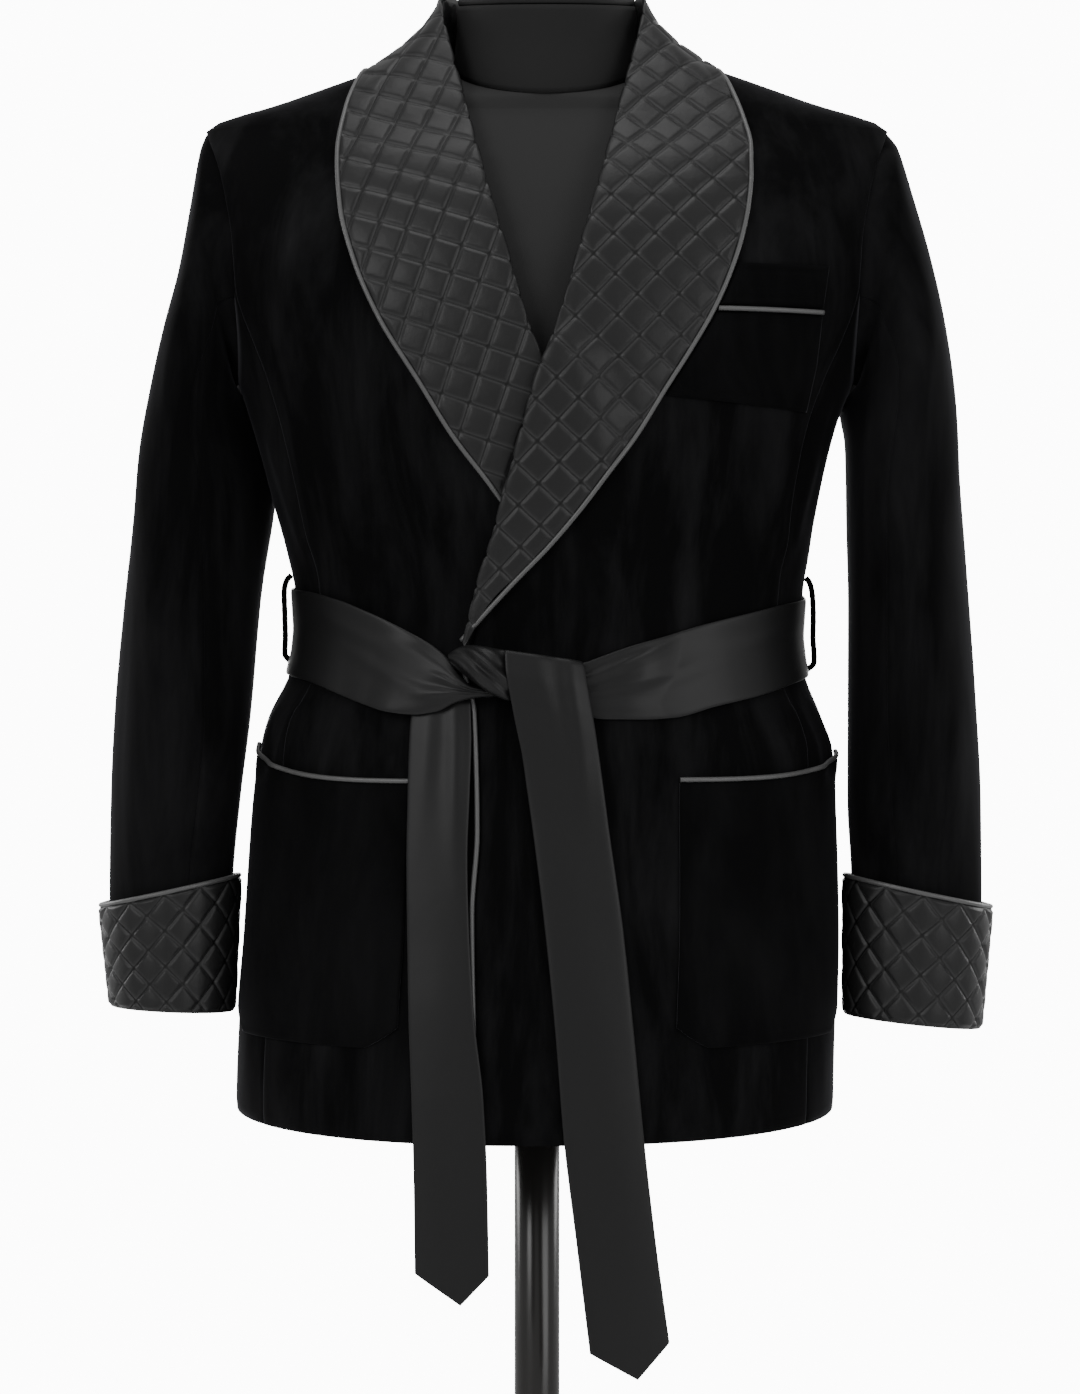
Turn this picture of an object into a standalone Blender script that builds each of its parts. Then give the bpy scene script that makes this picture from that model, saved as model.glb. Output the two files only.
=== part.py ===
"""Velvet smoking jacket with a quilted satin shawl collar, quilted turned-back cuffs, patch
pockets, satin piping and a tied satin belt, on a limbless dress form with a round stand.

Tables and sizes are in millimetres, and every mesh is made in metres. The front faces -Y, up is
+Z, and left and right are the wearer's, so the wearer's left is at +X. The origin is the middle
of the underside of the base.

The jacket's shape is one ring for each height: a superellipse with its own half width, centre and
depths. A place on it is a turn from the front middle in degrees (+90 is the wearer's left side,
180 the middle back), a height, and a lift along the surface's normal. Panels, pockets, piping,
collar and belt all take their points from that surface, each at its own lift.
"""

import math

import bmesh
import bpy
import numpy as np

MM = 0.001
ROUNDNESS = 2.3
CLOTH = 1.5
SEAM_DEGREES = 0.12
TOUCH_GAP = 0.3
LAY_GAP = 0.6
COLLAR_GAP = 1.0
BELT_GAP = 2.1

# Jacket rings: height, half width, centre in x, depth to the front, depth to the back
BODY_COLUMNS = ("z", "half", "centre", "front", "back")
BODY = (
    (700, 207, -1.5, 148, 143),
    (730, 207, -1.5, 146, 142),
    (800, 206.5, 0.5, 143, 138),
    (850, 205, 3, 139, 134),
    (889, 203.5, 4, 136, 131),
    (939, 201, 5, 131, 126),
    (978, 198, 6.5, 126, 122),
    (1000, 191.5, 5.5, 123, 119),
    (1030, 178.5, 7, 118, 114),
    (1057, 174, 8, 115, 112),
    (1092, 176.4, 8.4, 117, 113),
    (1110, 180, 8, 119, 115),
    (1149, 188, 6, 125, 119),
    (1202, 202, 5, 130, 124),
    (1232, 213, 6, 131, 127),
    (1260, 226, 7, 130, 129),
    (1290, 238, 7, 127, 129),
    (1320, 244, 7, 121, 127),
    (1350, 245, 7, 111, 122),
    (1380, 242, 7, 95, 113),
    (1408, 237, 7, 72, 99),
    (1427, 184, 7, 62, 89),
    (1446, 131, 7, 50, 79),
    (1464, 80, 7, 40, 73),
    (1480, 78, 7, 39, 71),
)

# Dress form rings, the same columns
FORM = (
    (775, 165, 2, 104, 108),
    (784, 172, 2, 110, 113),
    (830, 180, 2, 118, 120),
    (900, 182, 3, 120, 116),
    (980, 172, 5, 110, 106),
    (1050, 157, 7, 101, 98),
    (1110, 163, 7, 105, 102),
    (1180, 178, 6, 114, 108),
    (1240, 192, 6, 118, 114),
    (1300, 203, 7, 112, 116),
    (1350, 205, 7, 97, 108),
    (1385, 203, 7, 80, 98),
    (1408, 192, 7, 66, 88),
    (1426, 185.8, 7, 59, 87),
    (1445, 132.8, 7, 58, 72),
    (1450, 92, 6.5, 57.5, 66),
    (1452, 76, 6.5, 57, 66),
)
FORM_TILT_FROM = 1408
NECK_SEAM_DIP = 24
NECK_TOP_DIP = 7
FORM_SIDES = 28

# Soft folds: turn in degrees, upper end, lower end, lean in degrees per 100 mm, width, height
FOLD_FADE = 25
FOLDS = (
    (-62, 1014, 952, 10, 4.5, 3.2),
    (-74, 1016, 955, 6, 4.5, 2.8),
    (64, 1014, 950, -8, 4.5, 3.0),
    (76, 1016, 955, -6, 4.5, 2.8),
    (-66, 1205, 1102, -7, 5, 3.0),
    (66, 1190, 1102, 8, 5, 2.8),
    (138, 1030, 940, -6, 7, 3.2),
    (166, 1034, 930, -3, 7, 2.6),
    (199, 1034, 935, 4, 7, 3.0),
    (224, 1030, 945, 6, 7, 2.8),
    (150, 1190, 1104, 8, 8, 2.4),
    (212, 1195, 1104, -8, 8, 2.6),
)

# The lapping front's edge and roll line: height, x
FRONT_EDGE = (
    (700, -38), (773, -40), (867, -41.5), (923, -38), (1000, -40), (1045, -48), (1087, -40),
    (1111, -32), (1146, -25.6), (1185, -12), (1207, -8), (1231, 0), (1264, 12.8),
    (1298, 22.8), (1335, 32), (1358, 40), (1392, 50), (1426, 60), (1445, 64), (1464, 74),
)
MIRROR_X = 4
EDGE_SETBACK = 6.5
FRONT_ROWS = (
    730, 770, 810, 860, 910, 955, 985, 1008, 1030, 1057, 1085, 1115, 1145, 1175, 1205,
)
FRONT_COLUMNS = 10
SIDE_COLUMNS = 7
BACK_COLUMNS = 13
HEM_DIP = 16
HEM_FADE = 75

# Armhole: an ellipse in turn and height round the side
ARMHOLE_Z = 1320
ARMHOLE_HEIGHT = 88
ARMHOLE_TURN = 30
SIDE_SEAM = 61.5
ARMHOLE_STEPS = 8
SHOULDER_ROWS = (1426, 1445, 1463)
BACK_NECK_TOP = 1464
BACK_NECK_RISE = 11

# How far the lapping front stands off: over the other front, and over the other half's collar
LAP_LIFT = 2.1
OVER_COLLAR_LIFT = 5.8

# Collar stations round the neck: roll x, y, z, outer turn, outer z, bend place, bend height,
# leg end x, y, z. Down the front: roll x, z, outer x, z. x is outwards from the middle line.
COLLAR_NECK = (
    (0.3, 73, 1512, 179.9, 1448, 0.0, 17, 0.3, 73.0, 1477.0),
    (36, 65, 1511, 151, 1444, 0.0, 15, 40.5, 61.5, 1475.5),
    (61, 42, 1509, 122, 1441, 0.3, -6, 67.0, 38.0, 1471.5),
    (72, 8, 1506, 84, 1447, 0.42, -11, 75.5, 2.0, 1467.5),
    (69.5, -22, 1491, 39, 1419, 0.45, -10, 69.0, -17.0, 1459.5),
)
# Outer turn and z of the last two rows, which differ a little between the sides
COLLAR_SHOULDER = {1: ((84, 1450.8), (35.5, 1420)), -1: ((84, 1448.5), (37, 1419))}
COLLAR_NARROW = {1: 4.0, -1: 6.0}
COLLAR_FRONT = (
    (58, 1441, 143.7, 1383), (46, 1392, 140.6, 1346), (36.7, 1358, 131, 1310),
    (24, 1315, 115, 1273), (9, 1264, 86, 1226), (-4, 1231, 64, 1191), (-14, 1196, 41, 1163),
    (-24, 1158, 13, 1129), (-35, 1118, -14, 1100), (-44, 1087, -34, 1079), (-52, 1050, -48, 1049),
)
COLLAR_THICK = 2.4
COLLAR_WIDEST = 118
QUILT_STEP = 12.8
COLLAR_PUFF = 1.7
ROLL_RISE = 1.8
PIPING_RADIUS = 1.7
PIPING_GAP = 1.5

# Sleeve sections: outer x, z, inner x, z, half depth, centre y, turn of the section in degrees
SLEEVE_LEFT = (
    (251, 1400, 224.4, 1231.8, 66, 2, 0), (263, 1362, 225.5, 1228, 72, 1, 0),
    (274, 1322, 225, 1222, 77, 0, 2), (282, 1280, 223.5, 1215, 80, -1, 3),
    (288, 1240, 221, 1206, 80, -2, 4), (292.5, 1194, 219, 1192, 79, -3, 5),
    (297.4, 1138, 218, 1138, 76, -5, 6), (301.6, 1082, 219, 1082, 72, -8, 6),
    (306, 1012, 218, 1010, 67, -13, 5), (309, 942, 217, 942, 58, -18, 3),
    (309, 880, 218.5, 884, 46, -22, 0), (304.4, 789, 216.8, 798, 45.6, -24, 0),
)
SLEEVE_RIGHT = (
    (240, 1399, 212.9, 1231.8, 66, 2, 0), (250, 1357, 214, 1228, 72, 1, 0),
    (256, 1315, 214.2, 1222, 77, 0, 4), (263, 1275, 212.4, 1215, 80, -1, 6),
    (269, 1238, 208, 1206, 80, -2, 9), (275, 1197, 202.5, 1194, 79, -3, 10),
    (284, 1142, 196.5, 1142, 76, -5, 10), (288, 1082, 195, 1082, 72, -8, 8),
    (294, 1008, 200, 1006, 67, -13, 6), (296.5, 948, 206, 946, 58, -18, 3),
    (297, 880, 211.5, 885, 46, -22, 0), (292.2, 806, 214.3, 803, 45.6, -24, 0),
)
SLEEVE_SPAN_SIDES = (9, 7)
SLEEVE_SEAMS = (112, 262)
SLEEVE_SEAM_GAP = 0.4
# Sleeve folds: place along the sleeve, length, turn round it, width in degrees, height
SLEEVE_FOLDS = (
    (2.2, 2.6, 58, 15, 4.0), (4.6, 2.4, 78, 12, 3.2), (6.6, 2.2, 40, 14, 3.0),
    (3.4, 2.4, 300, 16, 3.4), (6.0, 2.4, 320, 14, 3.0), (8.4, 1.8, 66, 14, 2.6),
)

# Cuff top and bottom sections, as a sleeve's
CUFF_LEFT = ((315.8, 867, 213.4, 889, 51.5, -22, 0), (308, 785, 213.2, 795, 49.5, -24, 0))
CUFF_RIGHT = ((303.5, 868, 206.5, 889, 51.5, -22, 0), (296, 801, 210.5, 797, 49.5, -24, 0))
CUFF_THICK = 3.0
CUFF_PUFF = 2.0
CUFF_DIAMONDS_ROUND = 13
CUFF_HALF_ROWS = 7
# Share of a step by which the piping's two ends stop short of each other
CUFF_PIPING_JOIN = 0.012

# Patch pockets: turn of each edge, height of mouth and bottom at the inner and the outer edge
POCKET_TURNS = (23.5, 81.0)
POCKET_MOUTH = (955, 972)
POCKET_BOTTOM = (777, 784)
POCKET_CHAMFER = 15
POCKET_THICK = 2.0
POCKET_BELLY = 1.6
POCKET_COLUMNS = (0.0, 0.1, 0.25, 0.4, 0.55, 0.7, 0.8, 0.9, 1.0)
POCKET_ROWS = 7

# Breast pocket: right edge x at heights, and the heights that part the band from the bag
BREAST_TOP = 1307
BREAST_BAND_FOOT = 1279
BREAST_BAG_TOP = 1273
BREAST_FOOT = (1217, 1209)
BREAST_EDGE = ((1200, 180), (1209, 182), (1241, 189), (1277, 193), (1310, 198))
BREAST_GAP = 5.5

# Belt: turn and height of its middle line
BELT_LINE = (
    (6, 1016), (12, 1018.7), (23.6, 1026), (45.8, 1040), (70, 1050), (90, 1058), (120, 1065),
    (180, 1068), (240, 1066), (270, 1060), (302, 1050), (318, 1041), (328.5, 1034),
)
BELT_WIDTH = 58
BELT_THICK = 3.0
BELT_STEP = 10
# The band rises from the jacket by this much between these turns, to meet the knot
KNOT_RISE = 5.0
KNOT_RISE_TURNS = (312, 328)
# Knot sections: x, z, half height, half thickness, lift of its middle
KNOT = (
    (-90, 1031, 27, 1.8, 9.6), (-76, 1026, 25.5, 4.0, 13), (-61, 1023.5, 22, 8.0, 17),
    (-46, 1025, 18, 10.0, 20), (-34, 1029, 15.5, 10.0, 21), (-25, 1032, 11.5, 7.5, 20),
)
KNOT_SIDES = 16
KNOT_SLANT = 0.05
# Tails: left x and z, right x and z, lift of the underside
TAIL_ON_RIGHT_FRONT = (
    (-80, 1006, -44, 1007, 6.6), (-84, 985, -43, 985, 6.6), (-85, 950, -44, 950, 6.6),
    (-85.6, 905, -45.5, 905, 6.8), (-85, 860, -44.5, 860, 7), (-84, 800, -41, 800, 7),
    (-82, 745, -35, 745, 7), (-80.5, 690, -32.5, 690, 7), (-79.8, 629, -31.4, 628, 7),
)
TAIL_ON_RIGHT_TIP = (-50, 608)
TAIL_ON_LEFT_FRONT = (
    (-21, 1043, 26, 1037, 14), (-19.5, 1028, 32, 1024, 15), (-16.7, 1009, 35.5, 1007, 13.5),
    (-10, 975, 41, 973, 9.5), (-3, 925, 48, 922, 6.5), (5, 860, 57, 857, 6.2),
    (12, 790, 64, 786, 6.2), (17.5, 720, 70.5, 716, 6.2), (26, 649, 78.5, 645, 6.2),
    (34.8, 576, 86.9, 582.5, 6.2),
)
TAIL_ON_LEFT_TIP = (66, 558)
TAIL_COLUMNS = (0.0, 0.12, 0.5, 0.88, 1.0)
HANG_FROM = 745

# Belt loops: height and lift of the cord's middle
LOOP_PATH = (
    (1101, 3.6), (1097, 7.0), (1085, 9.0), (1063, 9.8), (1044, 9.4), (1030, 8.2), (1025, 3.8),
)
LOOP_RADIUS = 1.6

# Stand
NECK_RADII = (62.5, 60)
NECK_CENTRE = (6.5, 4)
NECK_Z = (1452.4, 1497)
CAP_RADIUS = 61
CAP_HEIGHT = 9
POLE_RADIUS = 15.8
BASE_RADIUS = 180
BASE_THICK = 10
BASE_BOSS = (24, 34)


def columns(table, names):
    """The table's columns by name, as arrays."""
    return dict(zip(names, np.array(table, float).T))


def smooth(x, xs, ys):
    """A monotone cubic through the points (xs, ys), read at x."""
    xs, ys = np.asarray(xs, float), np.asarray(ys, float)
    step = np.diff(xs)
    rise = np.diff(ys) / step
    slope = np.zeros(len(xs))
    slope[0], slope[-1] = rise[0], rise[-1]
    turns = rise[:-1] * rise[1:] > 0
    slope[1:-1][turns] = (2 * rise[:-1] * rise[1:] / (rise[:-1] + rise[1:] + 1e-12))[turns]
    x = np.clip(x, xs[0], xs[-1])
    i = np.clip(np.searchsorted(xs, x, side="right") - 1, 0, len(step) - 1)
    t = (x - xs[i]) / step[i]
    value = ys[i] * (1 + 2 * t) * (1 - t) ** 2 + ys[i + 1] * t**2 * (3 - 2 * t)
    return value + step[i] * t * (1 - t) * (slope[i] * (1 - t) - slope[i + 1] * t)


def ease(x, low, high):
    """0 at low, 1 at high, with level ends."""
    t = np.clip((x - low) / (high - low), 0, 1)
    return t * t * (3 - 2 * t)


BODY_RINGS = columns(BODY, BODY_COLUMNS)
FORM_RINGS = columns(FORM, BODY_COLUMNS)


def ring_sizes(z, rings):
    return [smooth(z, rings["z"], rings[name]) for name in BODY_COLUMNS[1:]]


def ring_point(turn, z, rings):
    """Superellipse point at this turn and height, as an array with x, y, z last."""
    half, centre, front, back = ring_sizes(z, rings)
    sine, cosine = np.sin(np.radians(turn)), np.cos(np.radians(turn))
    across = np.sign(sine) * np.abs(sine) ** (2 / ROUNDNESS)
    along = np.sign(cosine) * np.abs(cosine) ** (2 / ROUNDNESS)
    depth = np.where(cosine > 0, front, back)
    return np.stack([centre + half * across, -depth * along, z + 0 * turn], axis=-1)


def fold_height(turn, z):
    """Sum of the soft folds: a bell across each, faded out at its ends."""
    total = np.zeros(np.broadcast(turn, z).shape)
    for place, top, foot, lean, width, height in FOLDS:
        middle = place + lean * (z - (top + foot) / 2) / 100
        away = (np.mod(turn, 360) - middle + 180) % 360 - 180
        ends = ease(z, foot, foot + FOLD_FADE) * (1 - ease(z, top - FOLD_FADE, top))
        total = total + height * np.exp(-((away / width) ** 2)) * ends
    return total


def unit(vectors):
    return vectors / np.maximum(np.linalg.norm(vectors, axis=-1, keepdims=True), 1e-9)


def surface(turn, z, lift=0.0):
    """The jacket's surface moved out by lift along its normal."""
    turn, z = np.broadcast_arrays(np.asarray(turn, float), np.asarray(z, float))
    round_it = ring_point(turn + 0.4, z, BODY_RINGS) - ring_point(turn - 0.4, z, BODY_RINGS)
    up_it = ring_point(turn, z + 2, BODY_RINGS) - ring_point(turn, z - 2, BODY_RINGS)
    normal = unit(np.cross(round_it, up_it))
    raised = np.asarray(lift + fold_height(turn, z))[..., None]
    return ring_point(turn, z, BODY_RINGS) + normal * raised


def turn_at(x, z):
    """The turn on the front where the surface has this x."""
    half, centre, _, _ = ring_sizes(np.asarray(z, float), BODY_RINGS)
    share = np.clip((x - centre) / half, -0.9999, 0.9999)
    return np.degrees(np.arcsin(np.sign(share) * np.abs(share) ** (ROUNDNESS / 2)))


def edge_x(z):
    """Roll line and front edge of the lapping front."""
    zs, xs = np.array(FRONT_EDGE, float).T
    return smooth(z, zs, xs)


def lap_lift(turn, z):
    """How far the lapping front's underside stands off the jacket's surface."""
    x = ring_point(np.asarray(turn, float), np.asarray(z, float), BODY_RINGS)[..., 0]
    under_roll = 2 * MIRROR_X - edge_x(z)
    over_front = (1 - ease(x, 58, 92)) * (1 - ease(z, 1240, 1295))
    over_collar = 1 - ease(x, under_roll + 14, under_roll + 46)
    over_collar = over_collar * ease(z, 1006, 1036) * (1 - ease(z, 1246, 1276))
    return LAP_LIFT * over_front + OVER_COLLAR_LIFT * over_collar


def armhole_turn(z):
    share = np.clip((z - ARMHOLE_Z) / ARMHOLE_HEIGHT, -1, 1)
    return ARMHOLE_TURN * np.sqrt(1 - share**2)


def armhole_foot(turn):
    share = np.clip((np.asarray(turn) - 90) / ARMHOLE_TURN, -1, 1)
    return ARMHOLE_Z - ARMHOLE_HEIGHT * np.sqrt(1 - share**2)


def hem_height(turn, z):
    dip = HEM_DIP * np.maximum(np.cos(np.radians(turn)), 0)
    return z - dip * np.clip((BODY[1][0] + HEM_FADE - z) / HEM_FADE, 0, 1)


def panel_rows():
    """Heights of a front's rows: hem to armhole, closer together round the armhole, shoulder."""
    low = np.array(FRONT_ROWS, float)
    steps = np.arange(ARMHOLE_STEPS + 1) * math.pi / ARMHOLE_STEPS
    arm = ARMHOLE_Z - ARMHOLE_HEIGHT * np.cos(steps)
    return np.concatenate([low, arm, SHOULDER_ROWS])


def material(name, colour, roughness, metallic=0.0):
    made = bpy.data.materials.new(name)
    made.use_nodes = True
    shader = made.node_tree.nodes["Principled BSDF"]
    shader.inputs["Base Color"].default_value = (*colour, 1)
    shader.inputs["Roughness"].default_value = roughness
    shader.inputs["Metallic"].default_value = metallic
    return made


def add_object(name, mesh, look):
    colour, roughness, metallic = look
    mesh.materials.append(material(name, colour, roughness, metallic))
    made = bpy.data.objects.new(name, mesh)
    jacket.objects.link(made)
    return made


def solid_from_grids(name, outer, inner, look, ring=False):
    """Closed wall between two point grids of the same shape. ring joins the last column to the
    first. Points that coincide, as where a row runs out early, are merged."""
    rows, cols = outer.shape[:2]
    number = np.arange(rows * cols).reshape(rows, cols)
    if ring:
        number = np.concatenate([number, number[:, :1]], axis=1)
    a, b = number[:-1, :-1].ravel(), number[:-1, 1:].ravel()
    c, d = number[1:, 1:].ravel(), number[1:, :-1].ravel()
    skin = np.stack([a, b, c, d], axis=1)
    total = rows * cols
    borders = [number[0], number[-1][::-1]]
    if not ring:
        borders += [number[:, -1], number[:, 0][::-1]]
    walls = [np.stack([e[1:], e[:-1], e[:-1] + total, e[1:] + total], axis=1) for e in borders]
    faces = np.concatenate([skin, skin[:, ::-1] + total, *walls])
    points = np.concatenate([outer.reshape(-1, 3), inner.reshape(-1, 3)]) * MM
    mesh = bpy.data.meshes.new(name)
    mesh.from_pydata(points.tolist(), [], faces.tolist())
    tidy = bmesh.new()
    tidy.from_mesh(mesh)
    bmesh.ops.remove_doubles(tidy, verts=tidy.verts, dist=1e-6)
    bmesh.ops.triangulate(tidy, faces=tidy.faces, quad_method="SHORT_EDGE")
    bmesh.ops.recalc_face_normals(tidy, faces=tidy.faces)
    tidy.to_mesh(mesh)
    tidy.free()
    mesh.shade_smooth()
    mesh.set_sharp_from_angle(angle=math.radians(50))
    return add_object(name, mesh, look)


def capped_rings(name, rings, look):
    """Closed solid through rings of points, with flat ends."""
    count, sides = rings.shape[:2]
    number = np.arange(count * sides).reshape(count, sides)
    joined = np.concatenate([number, number[:, :1]], axis=1)
    skin = np.stack([joined[:-1, :-1], joined[:-1, 1:], joined[1:, 1:], joined[1:, :-1]], axis=-1)
    faces = skin.reshape(-1, 4).tolist() + [number[0].tolist()[::-1], number[-1].tolist()]
    mesh = bpy.data.meshes.new(name)
    mesh.from_pydata((rings.reshape(-1, 3) * MM).tolist(), [], faces)
    tidy = bmesh.new()
    tidy.from_mesh(mesh)
    bmesh.ops.recalc_face_normals(tidy, faces=tidy.faces)
    tidy.to_mesh(mesh)
    tidy.free()
    mesh.shade_smooth()
    mesh.set_sharp_from_angle(angle=math.radians(50))
    return add_object(name, mesh, look)


def cord(name, points, radius, look, fineness=1):
    """Round cord along a path of points: a curve with a bevel and filled caps."""
    curve = bpy.data.curves.new(name, "CURVE")
    curve.dimensions = "3D"
    curve.bevel_depth = radius * MM
    curve.bevel_resolution = fineness
    curve.use_fill_caps = True
    line = curve.splines.new("POLY")
    line.points.add(len(points) - 1)
    for place, point in zip(line.points, points):
        place.co = (*(point * MM), 1)
    colour, roughness, metallic = look
    curve.materials.append(material(name, colour, roughness, metallic))
    made = bpy.data.objects.new(name, curve)
    jacket.objects.link(made)
    return made


def turned(name, profile, look, steps):
    """Solid of revolution about Z: a profile of radius and height, from axis to axis."""
    mesh = bpy.data.meshes.new(name)
    points = [(r * MM, 0, z * MM) for r, z in profile]
    mesh.from_pydata(points, [(i, i + 1) for i in range(len(points) - 1)], [])
    made = add_object(name, mesh, look)
    screw = made.modifiers.new("turn", "SCREW")
    screw.steps = screw.render_steps = steps
    screw.use_merge_vertices = True
    screw.merge_threshold = 0.00001
    return made


def build_front(name, side):
    """A front: side +1 is the wearer's left, which laps over."""
    z = panel_rows()
    set_back = EDGE_SETBACK * ease(z, 1035, 1050)
    near = turn_at(edge_x(z) + set_back, z)
    if side < 0:
        near = -turn_at(2 * MIRROR_X - edge_x(z) - set_back, z)
    far = np.where(z < ARMHOLE_Z, SIDE_SEAM, 90.0)
    armed = (z >= armhole_foot(SIDE_SEAM)) & (z <= ARMHOLE_Z + ARMHOLE_HEIGHT)
    far = np.where(armed, 90 - armhole_turn(z), far) - SEAM_DEGREES
    share = np.linspace(0, 1, FRONT_COLUMNS)
    turn = side * (near[:, None] + (far - near)[:, None] * share)
    height = hem_height(turn, z[:, None] + 0 * turn)
    lift = lap_lift(turn, height) if side > 0 else 0 * turn
    inner = surface(turn, height, lift)
    outer = surface(turn, height, lift + CLOTH)
    return solid_from_grids(name, outer, inner, VELVET)


def build_side(name, side):
    """The side body under the armhole, between the front's and the back's seams."""
    low = np.array(FRONT_ROWS, float)
    rows = np.concatenate([low, [ARMHOLE_Z - ARMHOLE_HEIGHT]])
    turn = np.linspace(SIDE_SEAM + SEAM_DEGREES, 180 - SIDE_SEAM - SEAM_DEGREES, SIDE_COLUMNS)
    turn, z = np.meshgrid(turn, rows)
    start = FRONT_ROWS[-3]
    share = np.clip((z - start) / (rows[-1] - start), 0, 1)
    z = np.where(z > start, start + share * (armhole_foot(turn) - start), z)
    z = hem_height(turn, z)
    return solid_from_grids(
        name, surface(side * turn, z, CLOTH), surface(side * turn, z), VELVET
    )


def build_back():
    z = np.concatenate([panel_rows(), [BACK_NECK_TOP]])
    near = np.where(z < ARMHOLE_Z, 180 - SIDE_SEAM, 90.0)
    armed = (z >= armhole_foot(SIDE_SEAM)) & (z <= ARMHOLE_Z + ARMHOLE_HEIGHT)
    near = np.where(armed, 90 + armhole_turn(z), near) + SEAM_DEGREES
    share = np.linspace(0, 1, BACK_COLUMNS)
    turn = near[:, None] + (360 - 2 * near)[:, None] * share
    height = z[:, None] + 0 * turn
    neck = (1 - np.abs(turn - 180) / 90) * BACK_NECK_RISE
    height[-1] = height[-1] + neck[-1]
    height = hem_height(turn, height)
    return solid_from_grids("back", surface(turn, height, CLOTH), surface(turn, height), VELVET)


def sleeve_section(row, angle, shrink, side):
    """Points of one sleeve section: angle 0 is outermost, 90 the front, 180 innermost."""
    outer_x, outer_z, inner_x, inner_z, depth, centre_y, twist = row
    middle = np.array([(outer_x + inner_x) / 2, centre_y, (outer_z + inner_z) / 2])
    half = np.array([(outer_x - inner_x) / 2, 0, (outer_z - inner_z) / 2])
    half = half * (1 - shrink / np.linalg.norm(half))
    cosine, sine = np.cos(np.radians(angle)), np.sin(np.radians(angle))
    ahead = np.array([-math.tan(math.radians(twist)), -1, 0]) * (depth - shrink)
    points = middle + cosine[:, None] * half + sine[:, None] * ahead
    points[:, 0] *= side
    return points


def sleeve_fold(place, angle):
    total = 0 * angle
    for middle, length, turn, width, height in SLEEVE_FOLDS:
        away = (angle - turn - 6 * (place - middle) + 180) % 360 - 180
        bell = np.exp(-((away / width) ** 2)) * np.exp(-(((place - middle) / length * 2) ** 2))
        total = total + height * bell
    return total


def sleeve_rings(table, angle, shrink, side):
    """The armhole ring, then the table's sections, with the folds raised."""
    sine, cosine = np.sin(np.radians(angle)), np.cos(np.radians(angle))
    turn = 90 - (ARMHOLE_TURN - 1.0 - 0.45 * shrink) * sine
    z = ARMHOLE_Z + (ARMHOLE_HEIGHT - 2.0 - shrink) * cosine
    rings = [surface(side * turn, z, 0.7)]
    for place, row in enumerate(table, start=1):
        raised = sleeve_fold(place, angle)
        ring = sleeve_section(row, angle, shrink, side)
        middle = ring.mean(axis=0)
        rings.append(ring + unit(ring - middle) * raised[:, None])
    return np.array(rings)


def build_sleeve(table, side, word):
    first, second = SLEEVE_SEAMS
    spans = (
        ("sleeve_top_" + word, second - 360, first, SLEEVE_SPAN_SIDES[0]),
        ("sleeve_under_" + word, first, second, SLEEVE_SPAN_SIDES[1]),
    )
    for name, start, end, count in spans:
        angle = np.linspace(start + SLEEVE_SEAM_GAP, end - SLEEVE_SEAM_GAP, count + 1)
        outer = sleeve_rings(table, angle, 0.0, side)
        inner = sleeve_rings(table, angle, CLOTH, side)
        solid_from_grids(name, outer, inner, VELVET)


def build_cuff(table, side, word):
    """Turned-back cuff: diamonds are raised between their corners, over a plain inside."""
    angle = np.arange(2 * CUFF_DIAMONDS_ROUND) * 180 / CUFF_DIAMONDS_ROUND
    share = np.linspace(0, 1, CUFF_HALF_ROWS + 1)
    top, foot = np.array(table[0], float), np.array(table[1], float)
    rows = [top + (foot - top) * s for s in share]
    outer = np.array([sleeve_section(row, angle, 0.0, side) for row in rows])
    inner = np.array([sleeve_section(row, angle, CUFF_THICK, side) for row in rows])
    i, j = np.meshgrid(np.arange(len(share)), np.arange(len(angle)), indexing="ij")
    puffed = ((i + j) % 2 == 1) & (i > 0) & (i < CUFF_HALF_ROWS)
    middle = outer.mean(axis=1, keepdims=True)
    outer = outer + unit(outer - middle) * (puffed * CUFF_PUFF)[..., None]
    solid_from_grids("cuff_" + word, outer, inner, SATIN, ring=True)
    line = np.arange(19) * 360 / 18
    edge = sleeve_section(top, line, CUFF_THICK / 2, side)
    edge[:, 2] += PIPING_RADIUS + 0.5
    edge[0] += (edge[1] - edge[0]) * CUFF_PIPING_JOIN
    edge[-1] += (edge[-2] - edge[-1]) * CUFF_PIPING_JOIN * 2
    cord("cuff_piping_" + word, edge, PIPING_RADIUS, SATIN_TRIM)


def on_front(x, z, lift, side):
    """Point of this side's front. x is measured outwards from the middle line, and so is the
    x that comes back."""
    turn = turn_at(MIRROR_X + side * np.asarray(x, float), z)
    extra = lap_lift(turn, z) if side > 0 else 0.0
    return outwards(surface(turn, z, lift + extra), side)


def outwards(points, side):
    """Points with x measured outwards from the middle line."""
    return np.stack([(points[..., 0] - MIRROR_X) * side, points[..., 1], points[..., 2]], axis=-1)


def outwards_back(points, side):
    """Points with x measured outwards, in the jacket's own x again."""
    return np.stack([MIRROR_X + side * points[..., 0], points[..., 1], points[..., 2]], axis=-1)


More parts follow.
